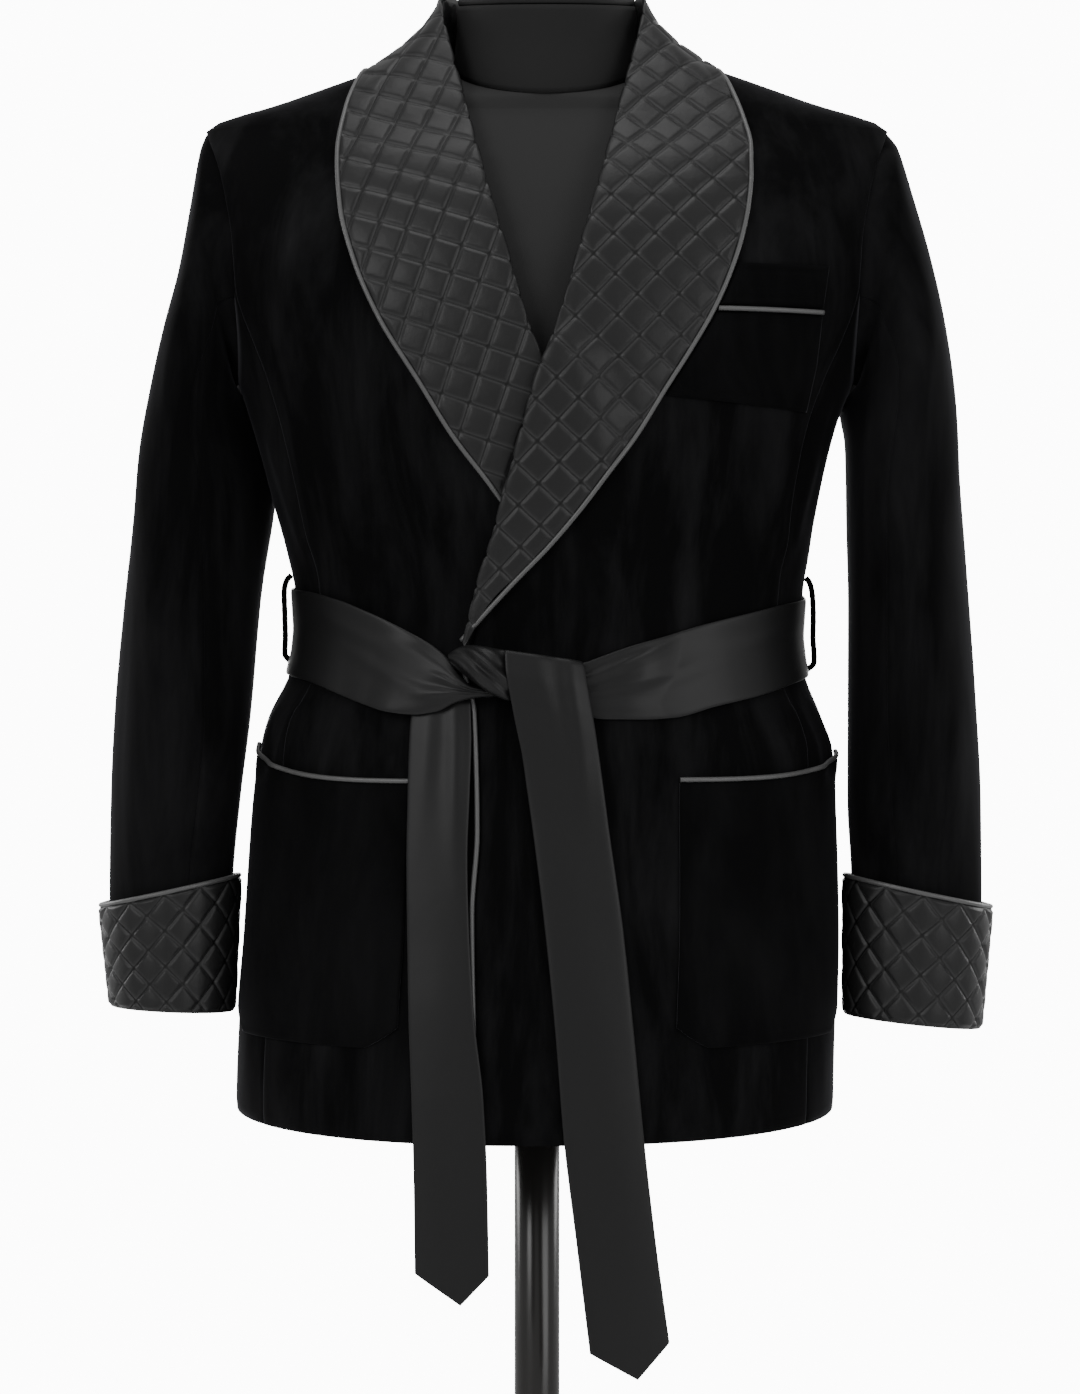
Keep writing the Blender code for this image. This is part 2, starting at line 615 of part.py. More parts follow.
def collar_stations(side):
    """Roll line, outer edge, bend (place, height) and leg end along the collar, from the
    middle back to the tip, read every quilt step."""
    roll, outer, bend, leg = [], [], [], []
    lay = CLOTH + COLLAR_GAP + COLLAR_THICK
    for row, values in enumerate(COLLAR_NECK):
        x, y, z, turn, outer_z, place, height, leg_x, leg_y, leg_z = values
        if row >= 3:
            turn, outer_z = COLLAR_SHOULDER[side][row - 3]
        roll.append((x, y, z))
        outer.append(outwards(surface(side * turn, outer_z, lay), side))
        bend.append((place, height))
        leg.append((leg_x, leg_y, leg_z))
    for roll_x, roll_z, outer_x, outer_z in COLLAR_FRONT:
        outer_x = outer_x - COLLAR_NARROW[side] * float(ease(outer_z, 1090, 1210))
        roll.append(on_front(roll_x, roll_z, lay, side))
        outer.append(on_front(outer_x, outer_z, lay, side))
        bend.append((0.5, 0.0))
        leg.append(on_front(roll_x + 0.6, roll_z, -0.8, side))
    steps = np.linalg.norm(np.diff(np.array(roll), axis=0), axis=1)
    along = np.concatenate([[0], np.cumsum(steps)])
    at = np.linspace(0, along[-1], int(along[-1] // QUILT_STEP) + 1)

    def read(values):
        return np.stack([smooth(at, along, column) for column in np.array(values).T], axis=-1)

    return read(roll), read(outer), read(bend), read(leg)


def foot_point(points):
    """Turn, surface point and normal of the jacket at the height and direction of points."""
    half, centre, front, back = ring_sizes(points[..., 2], BODY_RINGS)
    across = (points[..., 0] - centre) / half
    along = -points[..., 1] / np.where(points[..., 1] < 0, front, back)
    power = ROUNDNESS / 2
    sine = np.sign(across) * np.abs(across) ** power
    cosine = np.sign(along) * np.abs(along) ** power
    turn = np.degrees(np.arctan2(sine, cosine))
    base = surface(turn, points[..., 2])
    return turn, base, surface(turn, points[..., 2], 1.0) - base


def push_out(points, side, lift):
    """Moves points that lie under this lift from the jacket out to it. x is outwards."""
    points = outwards_back(points, side)
    below = points[..., 2] < BODY[-2][0] - 2
    for _ in range(3):
        turn, base, normal = foot_point(points)
        extra = lap_lift(turn, points[..., 2]) if side > 0 else 0.0
        height = np.sum((points - base) * normal, axis=-1)
        short = np.where(below, np.maximum(lift + extra - height, 0), 0)
        points = points + normal * short[..., None]
    return outwards(points, side)


def keep_outside(curve, side):
    """Lays a collar section on the jacket where it would lie in it, and rounds the roll."""
    length = np.linalg.norm(curve - curve[0], axis=1)
    rise = ROLL_RISE * (1 - np.exp(-length / 3)) * np.exp(-length / 18)
    if side < 0:
        rise = rise * ease(curve[:, 2], 1250, 1290)
    return push_out(curve, side, CLOTH + COLLAR_GAP + COLLAR_THICK + rise)


def collar_grid(side):
    """Shown side of the collar before quilting, in rows along it: the leg end, the leg, then
    the fall at every quilt step from the roll. Steps past the outer edge stay on it."""
    roll, outer, bend, leg = collar_stations(side)
    slots = int(COLLAR_WIDEST // QUILT_STEP) + 1
    skin = np.zeros((len(roll), slots + 4, 3))
    raised = np.zeros(skin.shape[:2])
    share = np.linspace(0, 1, 60)[:, None]
    for i in range(len(roll)):
        away = unit(roll[i] - (0, NECK_CENTRE[1], roll[i][2]))
        middle = roll[i] + (outer[i] - roll[i]) * bend[i, 0] + away * bend[i, 1]
        curve = (1 - share) ** 2 * roll[i] + share**2 * outer[i]
        curve = keep_outside(curve + 2 * share * (1 - share) * middle, side)
        run = np.linalg.norm(np.diff(curve, axis=0), axis=1)
        run = np.concatenate([[0], np.cumsum(run)])
        marks = np.arange(1, slots + 1) * QUILT_STEP
        marks = np.concatenate([[0, min(4, run[-1] / 3)], marks])
        short = marks > run[-1] - QUILT_STEP * 0.35
        marks = np.where(short, run[-1], marks)
        skin[i, 0] = leg[i]
        skin[i, 1] = leg[i] * 0.4 + roll[i] * 0.6
        skin[i, 2:] = np.stack([np.interp(marks, run, curve[:, k]) for k in range(3)], axis=-1)
        odd = (i + np.arange(slots)) % 2 == 1
        raised[i, 4:] = odd & ~short[2:] & (0 < i < len(roll) - 1)
    return skin, raised


def grid_normals(skin):
    """Unit normals of a grid whose rows may end in repeated points."""
    along = np.gradient(skin, axis=0)
    across = np.empty_like(skin)
    across[:, 1:-1] = skin[:, 2:] - skin[:, :-2]
    across[:, 0] = skin[:, 1] - skin[:, 0]
    across[:, -1] = 0
    for column in range(1, skin.shape[1]):
        still = np.linalg.norm(across[:, column], axis=-1) < 0.5
        across[still, column] = across[still, column - 1]
    return unit(np.cross(across, along)), unit(across)


def build_collar(side, word):
    skin, raised = collar_grid(side)
    normal, across = grid_normals(skin)
    if normal[len(skin) // 2, 5, 1] > 0:
        normal = -normal
    hidden = skin - normal * COLLAR_THICK
    shown = skin + normal * (raised * COLLAR_PUFF)[..., None]
    shown[0, :, 0] = hidden[0, :, 0] = TOUCH_GAP
    edge = skin[:, -1] + across[:, -1] * (PIPING_RADIUS + PIPING_GAP) - normal[:, -1] * 0.6
    edge = push_out(edge, side, CLOTH + PIPING_RADIUS + COLLAR_GAP)
    shown, hidden, edge = [outwards_back(grid, side) for grid in (shown, hidden, edge)]
    solid_from_grids("collar_" + word, shown, hidden, SATIN)
    cord("collar_piping_" + word, edge, PIPING_RADIUS, SATIN_TRIM, fineness=0)


def build_front_piping():
    z = np.linspace(1030, BODY[1][0] - HEM_DIP + 1, 16)
    turn = turn_at(edge_x(z) - PIPING_RADIUS - 0.6, z)
    lift = CLOTH + PIPING_RADIUS + 0.4
    cord("front_piping", surface(turn, z, lift), PIPING_RADIUS, SATIN_TRIM)


def build_pocket(side, word):
    """Patch pocket with cut-off lower corners, a little full in the middle, and its piping."""
    share, down = np.meshgrid(POCKET_COLUMNS, np.linspace(0, 1, POCKET_ROWS))
    inner_edge, outer_edge = POCKET_TURNS
    mouth = POCKET_MOUTH[0] + (POCKET_MOUTH[1] - POCKET_MOUTH[0]) * share**1.6
    foot = POCKET_BOTTOM[0] + (POCKET_BOTTOM[1] - POCKET_BOTTOM[0]) * share
    foot = foot + POCKET_CHAMFER * np.clip(1 - np.minimum(share, 1 - share) / 0.1, 0, 1)
    turn = side * (inner_edge + (outer_edge - inner_edge) * share)
    z = mouth + (foot - mouth) * down
    full = POCKET_BELLY * np.sin(math.pi * share) * (1 - down**2)
    under = CLOTH + LAY_GAP + full
    inner, outer = surface(turn, z, under), surface(turn, z, under + POCKET_THICK)
    solid_from_grids("pocket_" + word, outer, inner, VELVET)
    line = surface(turn[0], z[0] + PIPING_RADIUS + 0.5, under[0] + PIPING_RADIUS - 0.2)
    cord("pocket_piping_" + word, line, PIPING_RADIUS, SATIN_TRIM)


def collar_rim_x():
    """Outer edge of the wearer's left collar by height, on the front."""
    skin, _ = collar_grid(1)
    rim = skin[:, -1]
    low = rim[:, 1] < -20
    rim = rim[low][::-1]
    return rim[:, 2], rim[:, 0] + MIRROR_X


def build_breast_pocket():
    """The bag, the band above it and the piping between, cut off along the collar's edge."""
    rim_z, rim_x = collar_rim_x()
    edge_z, far_x = np.array(BREAST_EDGE, float).T

    def patch(name, top, foot, rows, thick):
        share, down = np.meshgrid(np.linspace(0, 1, 7), np.linspace(0, 1, rows))
        low = foot[0] + (foot[1] - foot[0]) * share
        z = top + (low - top) * down
        near = np.interp(z, rim_z, rim_x) + BREAST_GAP
        x = near + (np.interp(z, edge_z, far_x) - near) * share
        turn = turn_at(x, z)
        under = CLOTH + COLLAR_GAP
        solid_from_grids(
            name, surface(turn, z, under + thick), surface(turn, z, under), VELVET
        )

    patch("breast_pocket_band", BREAST_TOP, (BREAST_BAND_FOOT, BREAST_BAND_FOOT), 3, POCKET_THICK)
    patch("breast_pocket", BREAST_BAG_TOP, BREAST_FOOT, 5, POCKET_THICK)
    z = (BREAST_BAND_FOOT + BREAST_BAG_TOP) / 2
    near = np.interp(z, rim_z, rim_x) + BREAST_GAP
    x = np.linspace(near, np.interp(z, edge_z, far_x), 7)
    line = surface(turn_at(x, z), z + 0 * x, CLOTH + LAY_GAP + PIPING_RADIUS)
    cord("breast_pocket_piping", line, PIPING_RADIUS, SATIN_TRIM)


def build_belt():
    """The part round the body, as one strip from one side of the knot to the other."""
    turns, heights = np.array(BELT_LINE, float).T
    turn = np.linspace(turns[0], turns[-1], int((turns[-1] - turns[0]) / BELT_STEP) + 1)
    middle = smooth(turn, turns, heights)
    across = np.array([-1.0, -0.8, 0.0, 0.8, 1.0]) * BELT_WIDTH / 2
    z = middle[:, None] + across * (1 + 0.04 * np.cos(np.radians(turn))[:, None])
    turn = turn[:, None] + 0 * z
    signed = (turn + 180) % 360 - 180
    lap = np.where(signed > -30, lap_lift(np.clip(signed, -30, 90), z), 0)
    to_knot = KNOT_RISE * ease(turn, *KNOT_RISE_TURNS)
    under = CLOTH + BELT_GAP + lap + to_knot
    thick = BELT_THICK * (1 - 0.35 * np.abs(across / (BELT_WIDTH / 2)) ** 4)
    outer = surface(turn, z, under + thick)
    solid_from_grids("belt_band", outer, surface(turn, z, under), SATIN_PLAIN)


def build_knot():
    """The twisted middle of the half knot: flattened rings along it, with diagonal folds."""
    angle = np.arange(KNOT_SIDES) * 2 * math.pi / KNOT_SIDES
    rings = []
    for place, (x, z, tall, thick, lift) in enumerate(KNOT):
        fold = 1 + 0.07 * np.cos(4 * angle + 1.3 * place)
        rise = tall * np.cos(angle) * fold
        out = thick * np.sin(angle) * fold
        row_z = z + rise
        turn = turn_at(x + KNOT_SLANT * place * rise, row_z)
        rings.append(surface(turn, row_z, lift + out))
    capped_rings("belt_knot", np.array(rings), SATIN_PLAIN)


def build_tail(name, rows, tip):
    """Hanging belt end with a pointed tip. Below the hem it hangs straight down."""
    share = np.array(TAIL_COLUMNS)
    left = np.array(rows, float)
    x = left[:, :1] + (left[:, 2:3] - left[:, :1]) * share
    z = left[:, 1:2] + (left[:, 3:4] - left[:, 1:2]) * share
    lift = left[:, 4:5] + 0 * x
    pointed = 1 - np.abs(share - 0.5) * 2
    tip_x = x[-1] + pointed * (tip[0] - x[-1, 2])
    tip_z = z[-1] + pointed * (tip[1] - z[-1, 2])
    tip_z = tip_z - (1 - pointed) * 1.0
    x, z = np.vstack([x, tip_x]), np.vstack([z, tip_z])
    lift = np.vstack([lift, lift[-1]])
    place = np.maximum(z, HANG_FROM)
    turn = turn_at(x, place)
    points = surface(turn, place, lift)
    shown = surface(turn, place, lift + BELT_THICK)
    for grid in (points, shown):
        grid[..., 2] = np.where(z < HANG_FROM, z, grid[..., 2])
    solid_from_grids(name, shown, points, SATIN_PLAIN)


def build_loop(side, word):
    z, lift = np.array(LOOP_PATH, float).T
    path = surface(90.0 * side + 0 * z, z, lift)
    cord("belt_loop_" + word, path, LOOP_RADIUS, SATIN_TRIM)


def tilt(y, dip):
    """Change of height of a ring round the neck that is lower in front by dip."""
    return dip * y / NECK_RADII[1]


def build_form():
    z = np.array([row[0] for row in FORM], float)
    turn = np.arange(FORM_SIDES) * 360 / FORM_SIDES
    turn, z = np.meshgrid(turn, z)
    rings = ring_point(turn, z, FORM_RINGS)
    share = np.clip((z - FORM_TILT_FROM) / (FORM[-1][0] - FORM_TILT_FROM), 0, 1) ** 1.2
    sloped = rings[..., 1].copy()
    sloped[:-1] = np.minimum(sloped[:-1], 0)
    rings[..., 2] += tilt(sloped, NECK_SEAM_DIP) * share
    capped_rings("form_torso", rings, FORM_CLOTH)
    low, high = NECK_Z
    angle = np.radians(turn[0])
    rings = []
    for level in (low, low + 6, high - 6, high):
        grow = 2.5 * ease(level, low + 30, low)
        x = NECK_CENTRE[0] + (NECK_RADII[0] + grow) * np.sin(angle)
        y = NECK_CENTRE[1] - (NECK_RADII[1] + grow) * np.cos(angle)
        dip = NECK_SEAM_DIP + (NECK_TOP_DIP - NECK_SEAM_DIP) * (level - low) / (high - low)
        rings.append(np.stack([x, y, level + tilt(y, dip)], axis=-1))
    capped_rings("form_neck", np.array(rings), FORM_CLOTH)
    rings = []
    for radius, level in ((CAP_RADIUS, 0.4), (CAP_RADIUS + 1, 3), (CAP_RADIUS - 1, CAP_HEIGHT)):
        x = NECK_CENTRE[0] + radius * np.sin(angle)
        y = NECK_CENTRE[1] - (radius - 2.5) * np.cos(angle)
        rings.append(np.stack([x, y, high + level + tilt(y, NECK_TOP_DIP)], axis=-1))
    capped_rings("neck_cap", np.array(rings), CAP_LOOK)


def build_stand():
    boss, top = BASE_BOSS
    base = (
        (0, top), (boss - 4, top), (boss, top - 4), (boss + 4, BASE_THICK + 3),
        (boss + 12, BASE_THICK), (BASE_RADIUS - 3, BASE_THICK - 3), (BASE_RADIUS, BASE_THICK - 6),
        (BASE_RADIUS, 1), (BASE_RADIUS - 1, 0), (0, 0),
    )
    turned("stand_base", base, GLOSS, steps=32)
    foot, head = top + TOUCH_GAP, FORM[0][0] - TOUCH_GAP
    pole = (
        (0, head), (POLE_RADIUS, head), (POLE_RADIUS, foot), (0, foot),
    )
    turned("stand_pole", pole, GLOSS, steps=24)


VELVET = ((0.004, 0.004, 0.005), 0.9, 0.0)
SATIN = ((0.022, 0.022, 0.024), 0.42, 0.0)
SATIN_TRIM = ((0.05, 0.05, 0.053), 0.35, 0.0)
SATIN_PLAIN = ((0.03, 0.03, 0.033), 0.4, 0.0)
FORM_CLOTH = ((0.033, 0.033, 0.035), 0.85, 0.0)
CAP_LOOK = ((0.02, 0.02, 0.02), 0.5, 0.0)
GLOSS = ((0.012, 0.012, 0.013), 0.18, 0.0)

for old in list(bpy.data.objects):
    bpy.data.objects.remove(old, do_unlink=True)
jacket = bpy.data.collections.new("smoking_jacket")
bpy.context.scene.collection.children.link(jacket)

SIDES = ((1, "left"), (-1, "right"))
for sign, hand in SIDES:
    build_front("front_" + hand, sign)
    build_side("side_" + hand, sign)
    build_collar(sign, hand)
    build_pocket(sign, hand)
    build_loop(sign, hand)
build_back()
build_sleeve(SLEEVE_LEFT, 1, "left")
build_sleeve(SLEEVE_RIGHT, -1, "right")
build_cuff(CUFF_LEFT, 1, "left")
build_cuff(CUFF_RIGHT, -1, "right")
build_front_piping()
build_breast_pocket()
build_belt()
build_knot()
build_tail("belt_tail_right", TAIL_ON_RIGHT_FRONT, TAIL_ON_RIGHT_TIP)
build_tail("belt_tail_left", TAIL_ON_LEFT_FRONT, TAIL_ON_LEFT_TIP)
build_form()
build_stand()
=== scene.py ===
"""Black velvet smoking jacket with quilted satin collar and cuffs, on a cloth-covered dress form.

Tables are in millimetres and meshes in metres, in the frame of the CAD model: -Y is the front,
+Z is up, and left and right are the wearer's. A place on the jacket is a turn from the front
middle in degrees, a height, and a lift along the normal of the jacket's surface.
"""

import math

import bpy
import numpy as np
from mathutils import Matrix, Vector


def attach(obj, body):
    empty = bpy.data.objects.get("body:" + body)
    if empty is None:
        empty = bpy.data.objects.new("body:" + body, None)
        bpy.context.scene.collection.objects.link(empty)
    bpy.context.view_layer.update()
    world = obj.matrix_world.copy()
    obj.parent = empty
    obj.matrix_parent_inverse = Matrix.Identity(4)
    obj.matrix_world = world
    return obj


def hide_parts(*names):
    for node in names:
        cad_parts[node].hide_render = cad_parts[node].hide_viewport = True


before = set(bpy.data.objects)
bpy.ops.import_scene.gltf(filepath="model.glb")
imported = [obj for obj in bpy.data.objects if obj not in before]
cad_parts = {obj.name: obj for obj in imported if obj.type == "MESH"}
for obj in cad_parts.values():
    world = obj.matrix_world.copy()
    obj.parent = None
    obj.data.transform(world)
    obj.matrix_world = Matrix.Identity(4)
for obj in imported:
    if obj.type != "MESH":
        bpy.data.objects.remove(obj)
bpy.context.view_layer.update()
MM = 0.001


# Camera, light and floor
# A level camera at chest height, three metres and a fifth in front. Large soft lights stand in
# front on both sides, behind on both sides and above, in a pale studio.

CAMERA_PLACE = (0.0021, -3.2, 1.014)
CAMERA_LENS = 118.06

camera_data = bpy.data.cameras.new("camera")
camera_data.sensor_fit = "VERTICAL"
camera_data.sensor_height = 36
camera_data.lens = CAMERA_LENS
camera = bpy.data.objects.new("camera", camera_data)
camera.location = CAMERA_PLACE
camera.rotation_euler = (math.radians(90), 0, 0)
bpy.context.scene.collection.objects.link(camera)
bpy.context.scene.camera = camera


def area_light(name, place, target, size, power):
    """Square soft light of this size at place, facing target."""
    data = bpy.data.lights.new(name, "AREA")
    data.shape = "SQUARE"
    data.size = size
    data.energy = power
    light = bpy.data.objects.new(name, data)
    light.location = place
    light.rotation_euler = (Vector(target) - Vector(place)).to_track_quat("-Z", "Y").to_euler()
    bpy.context.scene.collection.objects.link(light)


area_light("key", (-1.9, -2.4, 2.3), (0, 0, 1.1), 1.4, 62)
area_light("fill", (2.1, -2.2, 1.7), (0, 0, 1.1), 1.6, 44)
area_light("rim_left", (-1.9, 0.9, 1.5), (0, 0, 1.1), 1.0, 26)
area_light("rim_right", (1.9, 0.9, 1.5), (0, 0, 1.1), 1.0, 26)
area_light("top", (0, -0.4, 3.2), (0, 0, 1.2), 1.2, 26)


def tree_of(name):
    """A new node material, its node tree and its Principled BSDF."""
    made = bpy.data.materials.new(name)
    made.use_nodes = True
    return made, made.node_tree, made.node_tree.nodes["Principled BSDF"]


def link(tree, out_node, out_socket, in_node, in_socket):
    """Joins one node's output to another's input."""
    tree.links.new(out_node.outputs[out_socket], in_node.inputs[in_socket])


def set_inputs(node, **values):
    """Gives each value to the input of its name, with spaces for the underscores."""
    for name, value in values.items():
        node.inputs[name.replace("_", " ")].default_value = value


def add_node(tree, kind, **values):
    """A new shader node of this kind with these input values."""
    node = tree.nodes.new("ShaderNode" + kind)
    set_inputs(node, **values)
    return node


# The studio's air is pale grey, with a bright patch behind the part where a lit backdrop stands.
BACKDROP_STRENGTH = 12.0
STUDIO_STRENGTH = 0.9
world = bpy.data.worlds.new("studio")
world.use_nodes = True
tree = world.node_tree
facing = add_node(tree, "VectorMath")
facing.operation = "DOT_PRODUCT"
facing.inputs[1].default_value = (0, 1, 0)
link(tree, add_node(tree, "TexCoord"), "Generated", facing, 0)
patch = add_node(tree, "MapRange", From_Min=0.95, From_Max=0.981,
                 To_Min=STUDIO_STRENGTH, To_Max=BACKDROP_STRENGTH)
patch.interpolation_type = "SMOOTHSTEP"
link(tree, facing, "Value", patch, "Value")
background = tree.nodes["Background"]
set_inputs(background, Color=(1, 1, 1, 1))
link(tree, patch, "Result", background, "Strength")
bpy.context.scene.world = world

floor_look, _, shader = tree_of("studio_floor")
set_inputs(shader, Base_Color=(0.9, 0.9, 0.9, 1), Roughness=0.8)
bpy.ops.mesh.primitive_plane_add(size=6, location=(0, 0, -0.0005))
floor = bpy.context.object
floor.name = "floor"
floor.data.materials.append(floor_look)


# Fronts, side bodies and back
# Velvet panels sewn with plain seams, pressed open. Each edge turns in at its seam, and the hem
# is turned up. Small soft folds run up from the waist and down from the belt.

CLOTH = 1.5
ROUNDNESS = 2.3
# All pieces lie on one surface through these superellipse rings: height, half width, centre in x,
# depth to the front, depth to the back
BODY = (
    (700, 207, -1.5, 148, 143), (730, 207, -1.5, 146, 142), (800, 206.5, 0.5, 143, 138),
    (850, 205, 3, 139, 134), (889, 203.5, 4, 136, 131), (939, 201, 5, 131, 126),
    (978, 198, 6.5, 126, 122), (1000, 191.5, 5.5, 123, 119), (1030, 178.5, 7, 118, 114),
    (1057, 174, 8, 115, 112), (1092, 176.4, 8.4, 117, 113), (1110, 180, 8, 119, 115),
    (1149, 188, 6, 125, 119), (1202, 202, 5, 130, 124), (1232, 213, 6, 131, 127),
    (1260, 226, 7, 130, 129), (1290, 238, 7, 127, 129), (1320, 244, 7, 121, 127),
    (1350, 245, 7, 111, 122), (1380, 242, 7, 95, 113), (1408, 237, 7, 72, 99),
    (1427, 184, 7, 62, 89), (1446, 131, 7, 50, 79), (1464, 80, 7, 40, 73),
    (1480, 78, 7, 39, 71),
)
# Soft folds: turn in degrees, upper end, lower end, lean in degrees per 100 mm, width, height
FOLDS = (
    (-62, 1014, 952, 10, 4.5, 3.2), (-74, 1016, 955, 6, 4.5, 2.8), (64, 1014, 950, -8, 4.5, 3.0),
    (76, 1016, 955, -6, 4.5, 2.8), (-66, 1205, 1102, -7, 5, 3.0), (66, 1190, 1102, 8, 5, 2.8),
    (138, 1030, 940, -6, 7, 3.2), (166, 1034, 930, -3, 7, 2.6), (199, 1034, 935, 4, 7, 3.0),
    (224, 1030, 945, 6, 7, 2.8), (150, 1190, 1104, 8, 8, 2.4), (212, 1195, 1104, -8, 8, 2.6),
)
# Small folds of the panels, with the same values
SMALL_FOLDS = (
    (-48, 1010, 880, 12, 4, 0.9), (-30, 1000, 820, 6, 5, 0.7), (38, 1005, 890, -10, 4, 0.8),
    (52, 1190, 1100, 12, 4, 0.9), (-50, 1200, 1100, -14, 4, 0.9), (-80, 1240, 1120, 4, 5, 1.2),
    (80, 1240, 1120, -4, 5, 1.2), (-38, 800, 718, 5, 6, 1.4), (-70, 850, 722, -4, 6, 1.2),
    (70, 850, 722, 4, 6, 1.2), (36, 790, 718, -5, 6, 1.2), (112, 1000, 860, -3, 7, 1.4),
    (125, 900, 730, 3, 8, 1.6), (180, 1000, 850, 1, 5, 1.0), (193, 920, 735, 2, 9, 1.8),
    (160, 930, 732, -2, 9, 1.6), (232, 900, 735, -3, 8, 1.7), (246, 1005, 880, 3, 6, 1.2),
    (165, 1200, 1105, 6, 5, 1.3), (196, 1195, 1102, -5, 5, 1.2), (180, 1180, 1100, 0, 4, 0.8),
    (135, 1300, 1180, -10, 6, 1.4), (226, 1300, 1185, 10, 6, 1.4), (150, 1380, 1290, -8, 7, 1.0),
    (212, 1385, 1290, 8, 7, 1.1), (-52, 1290, 1225, -16, 4, 1.1), (55, 1285, 1220, 16, 4, 1.0),
)
# The lapping front's edge and roll line: height, x
FRONT_EDGE = (
    (700, -38), (773, -40), (867, -41.5), (923, -38), (1000, -40), (1045, -48), (1087, -40),
    (1111, -32), (1146, -25.6), (1185, -12), (1207, -8), (1231, 0), (1264, 12.8),
    (1298, 22.8), (1335, 32), (1358, 40), (1392, 50), (1426, 60), (1445, 64), (1464, 74),
)
# The middle line between both roll lines, and how far a front's cloth stays back from its roll
# line above the belt
MIRROR_X = 4
EDGE_SETBACK = 6.5
SETBACK_Z = (1035, 1050)
# Hem, armhole, seams and shoulder. The side bodies' rows bend up to the armhole from SIDE_BEND_Z.
HEM_Z = 730
HEM_DIP = 16
HEM_FADE = 75
ARMHOLE_Z = 1320
ARMHOLE_HEIGHT = 88
ARMHOLE_TURN = 30
SIDE_SEAM = 61.5
SHOULDER_TOP = 1463
BACK_NECK_RISE = 11
SIDE_BEND_Z = 1145
SEAM_GAP = 0.02
SEAM_DEPTH = 0.9
# The lapping front lies over the other front and over its collar, and each lift fades out
LAP_LIFT = 2.1
LAP_FADE_X = (58, 92)
LAP_FADE_Z = (1240, 1295)
OVER_COLLAR_LIFT = 5.8
OVER_COLLAR_FADE_X = (14, 46)
OVER_COLLAR_RISE_Z = (1006, 1036)
OVER_COLLAR_FADE_Z = (1246, 1276)


def smooth(x, xs, ys):
    """Monotone cubic through (xs, ys) read at x. ys may have more axes after the first."""
    xs, ys = np.asarray(xs, float), np.asarray(ys, float)
    x = np.asarray(x, float)
    more = (1,) * (ys.ndim - 1)
    step = np.diff(xs).reshape(-1, *more)
    rise = np.diff(ys, axis=0) / step
    slope = np.zeros_like(ys)
    slope[0], slope[-1] = rise[0], rise[-1]
    product = rise[:-1] * rise[1:]
    total = rise[:-1] + rise[1:]
    safe = np.where(product > 0, total, 1.0)
    slope[1:-1] = np.where(product > 0, 2 * product / safe, 0.0)
    x = np.clip(x, xs[0], xs[-1])
    i = np.clip(np.searchsorted(xs, x, side="right") - 1, 0, len(xs) - 2)
    t = ((x - xs[i]) / np.diff(xs)[i]).reshape(x.shape + more)
    value = ys[i] * (1 + 2 * t) * (1 - t) ** 2 + ys[i + 1] * t**2 * (3 - 2 * t)
    return value + step[i] * t * (1 - t) * (slope[i] * (1 - t) - slope[i + 1] * t)


def ease(x, low, high):
    """0 at low, 1 at high, with level ends."""
    t = np.clip((x - low) / (high - low), 0, 1)
    return t * t * (3 - 2 * t)


BODY_Z = np.array(BODY, float)[:, 0]
BODY_SIZES = np.array(BODY, float)[:, 1:].T


def ring_point(turn, z, heights=BODY_Z, sizes=BODY_SIZES):
    """Superellipse point at this turn and height: the sine and cosine of the turn, each to the
    power 2 / ROUNDNESS, times the ring's half width and its depth."""
    half, centre, front, back = [smooth(z, heights, size) for size in sizes]
    sine, cosine = np.sin(np.radians(turn)), np.cos(np.radians(turn))
    across = np.sign(sine) * np.abs(sine) ** (2 / ROUNDNESS)
    along = np.sign(cosine) * np.abs(cosine) ** (2 / ROUNDNESS)
    depth = np.where(cosine > 0, front, back)
    return np.stack([centre + half * across, -depth * along, z + 0 * turn], axis=-1)


def ridges(turn, z, table):
    """Sum of folds: a bell across each, faded out at its ends."""
    total = np.zeros(np.broadcast(turn, z).shape)
    for place, top, foot, lean, width, height in table:
        middle = place + lean * (z - (top + foot) / 2) / 100
        away = (np.mod(turn, 360) - middle + 180) % 360 - 180
        fade = 0.25 * (top - foot)
        ends = ease(z, foot, foot + fade) * (1 - ease(z, top - fade, top))
        total = total + height * np.exp(-((away / width) ** 2)) * ends
    return total


def unit(vectors):
    """Vectors of length 1 in the same directions."""
    return vectors / np.maximum(np.linalg.norm(vectors, axis=-1, keepdims=True), 1e-9)


def surface(turn, z, lift=0.0):
    """The jacket's surface moved out by lift along its normal."""
    turn, z = np.broadcast_arrays(np.asarray(turn, float), np.asarray(z, float))
    round_it = ring_point(turn + 0.4, z) - ring_point(turn - 0.4, z)
    up_it = ring_point(turn, z + 2) - ring_point(turn, z - 2)
    normal = unit(np.cross(round_it, up_it))
    raised = np.asarray(lift + ridges(turn, z, FOLDS))[..., None]
    return ring_point(turn, z) + normal * raised


def turn_at(x, z):
    """The turn on the front where the surface has this x."""
    z = np.asarray(z, float)
    share = (x - smooth(z, BODY_Z, BODY_SIZES[1])) / smooth(z, BODY_Z, BODY_SIZES[0])
    share = np.clip(share, -0.9999, 0.9999)
    return np.degrees(np.arcsin(np.sign(share) * np.abs(share) ** (ROUNDNESS / 2)))


def edge_x(z):
    """Roll line and front edge of the lapping front."""
    zs, xs = np.array(FRONT_EDGE, float).T
    return smooth(z, zs, xs)


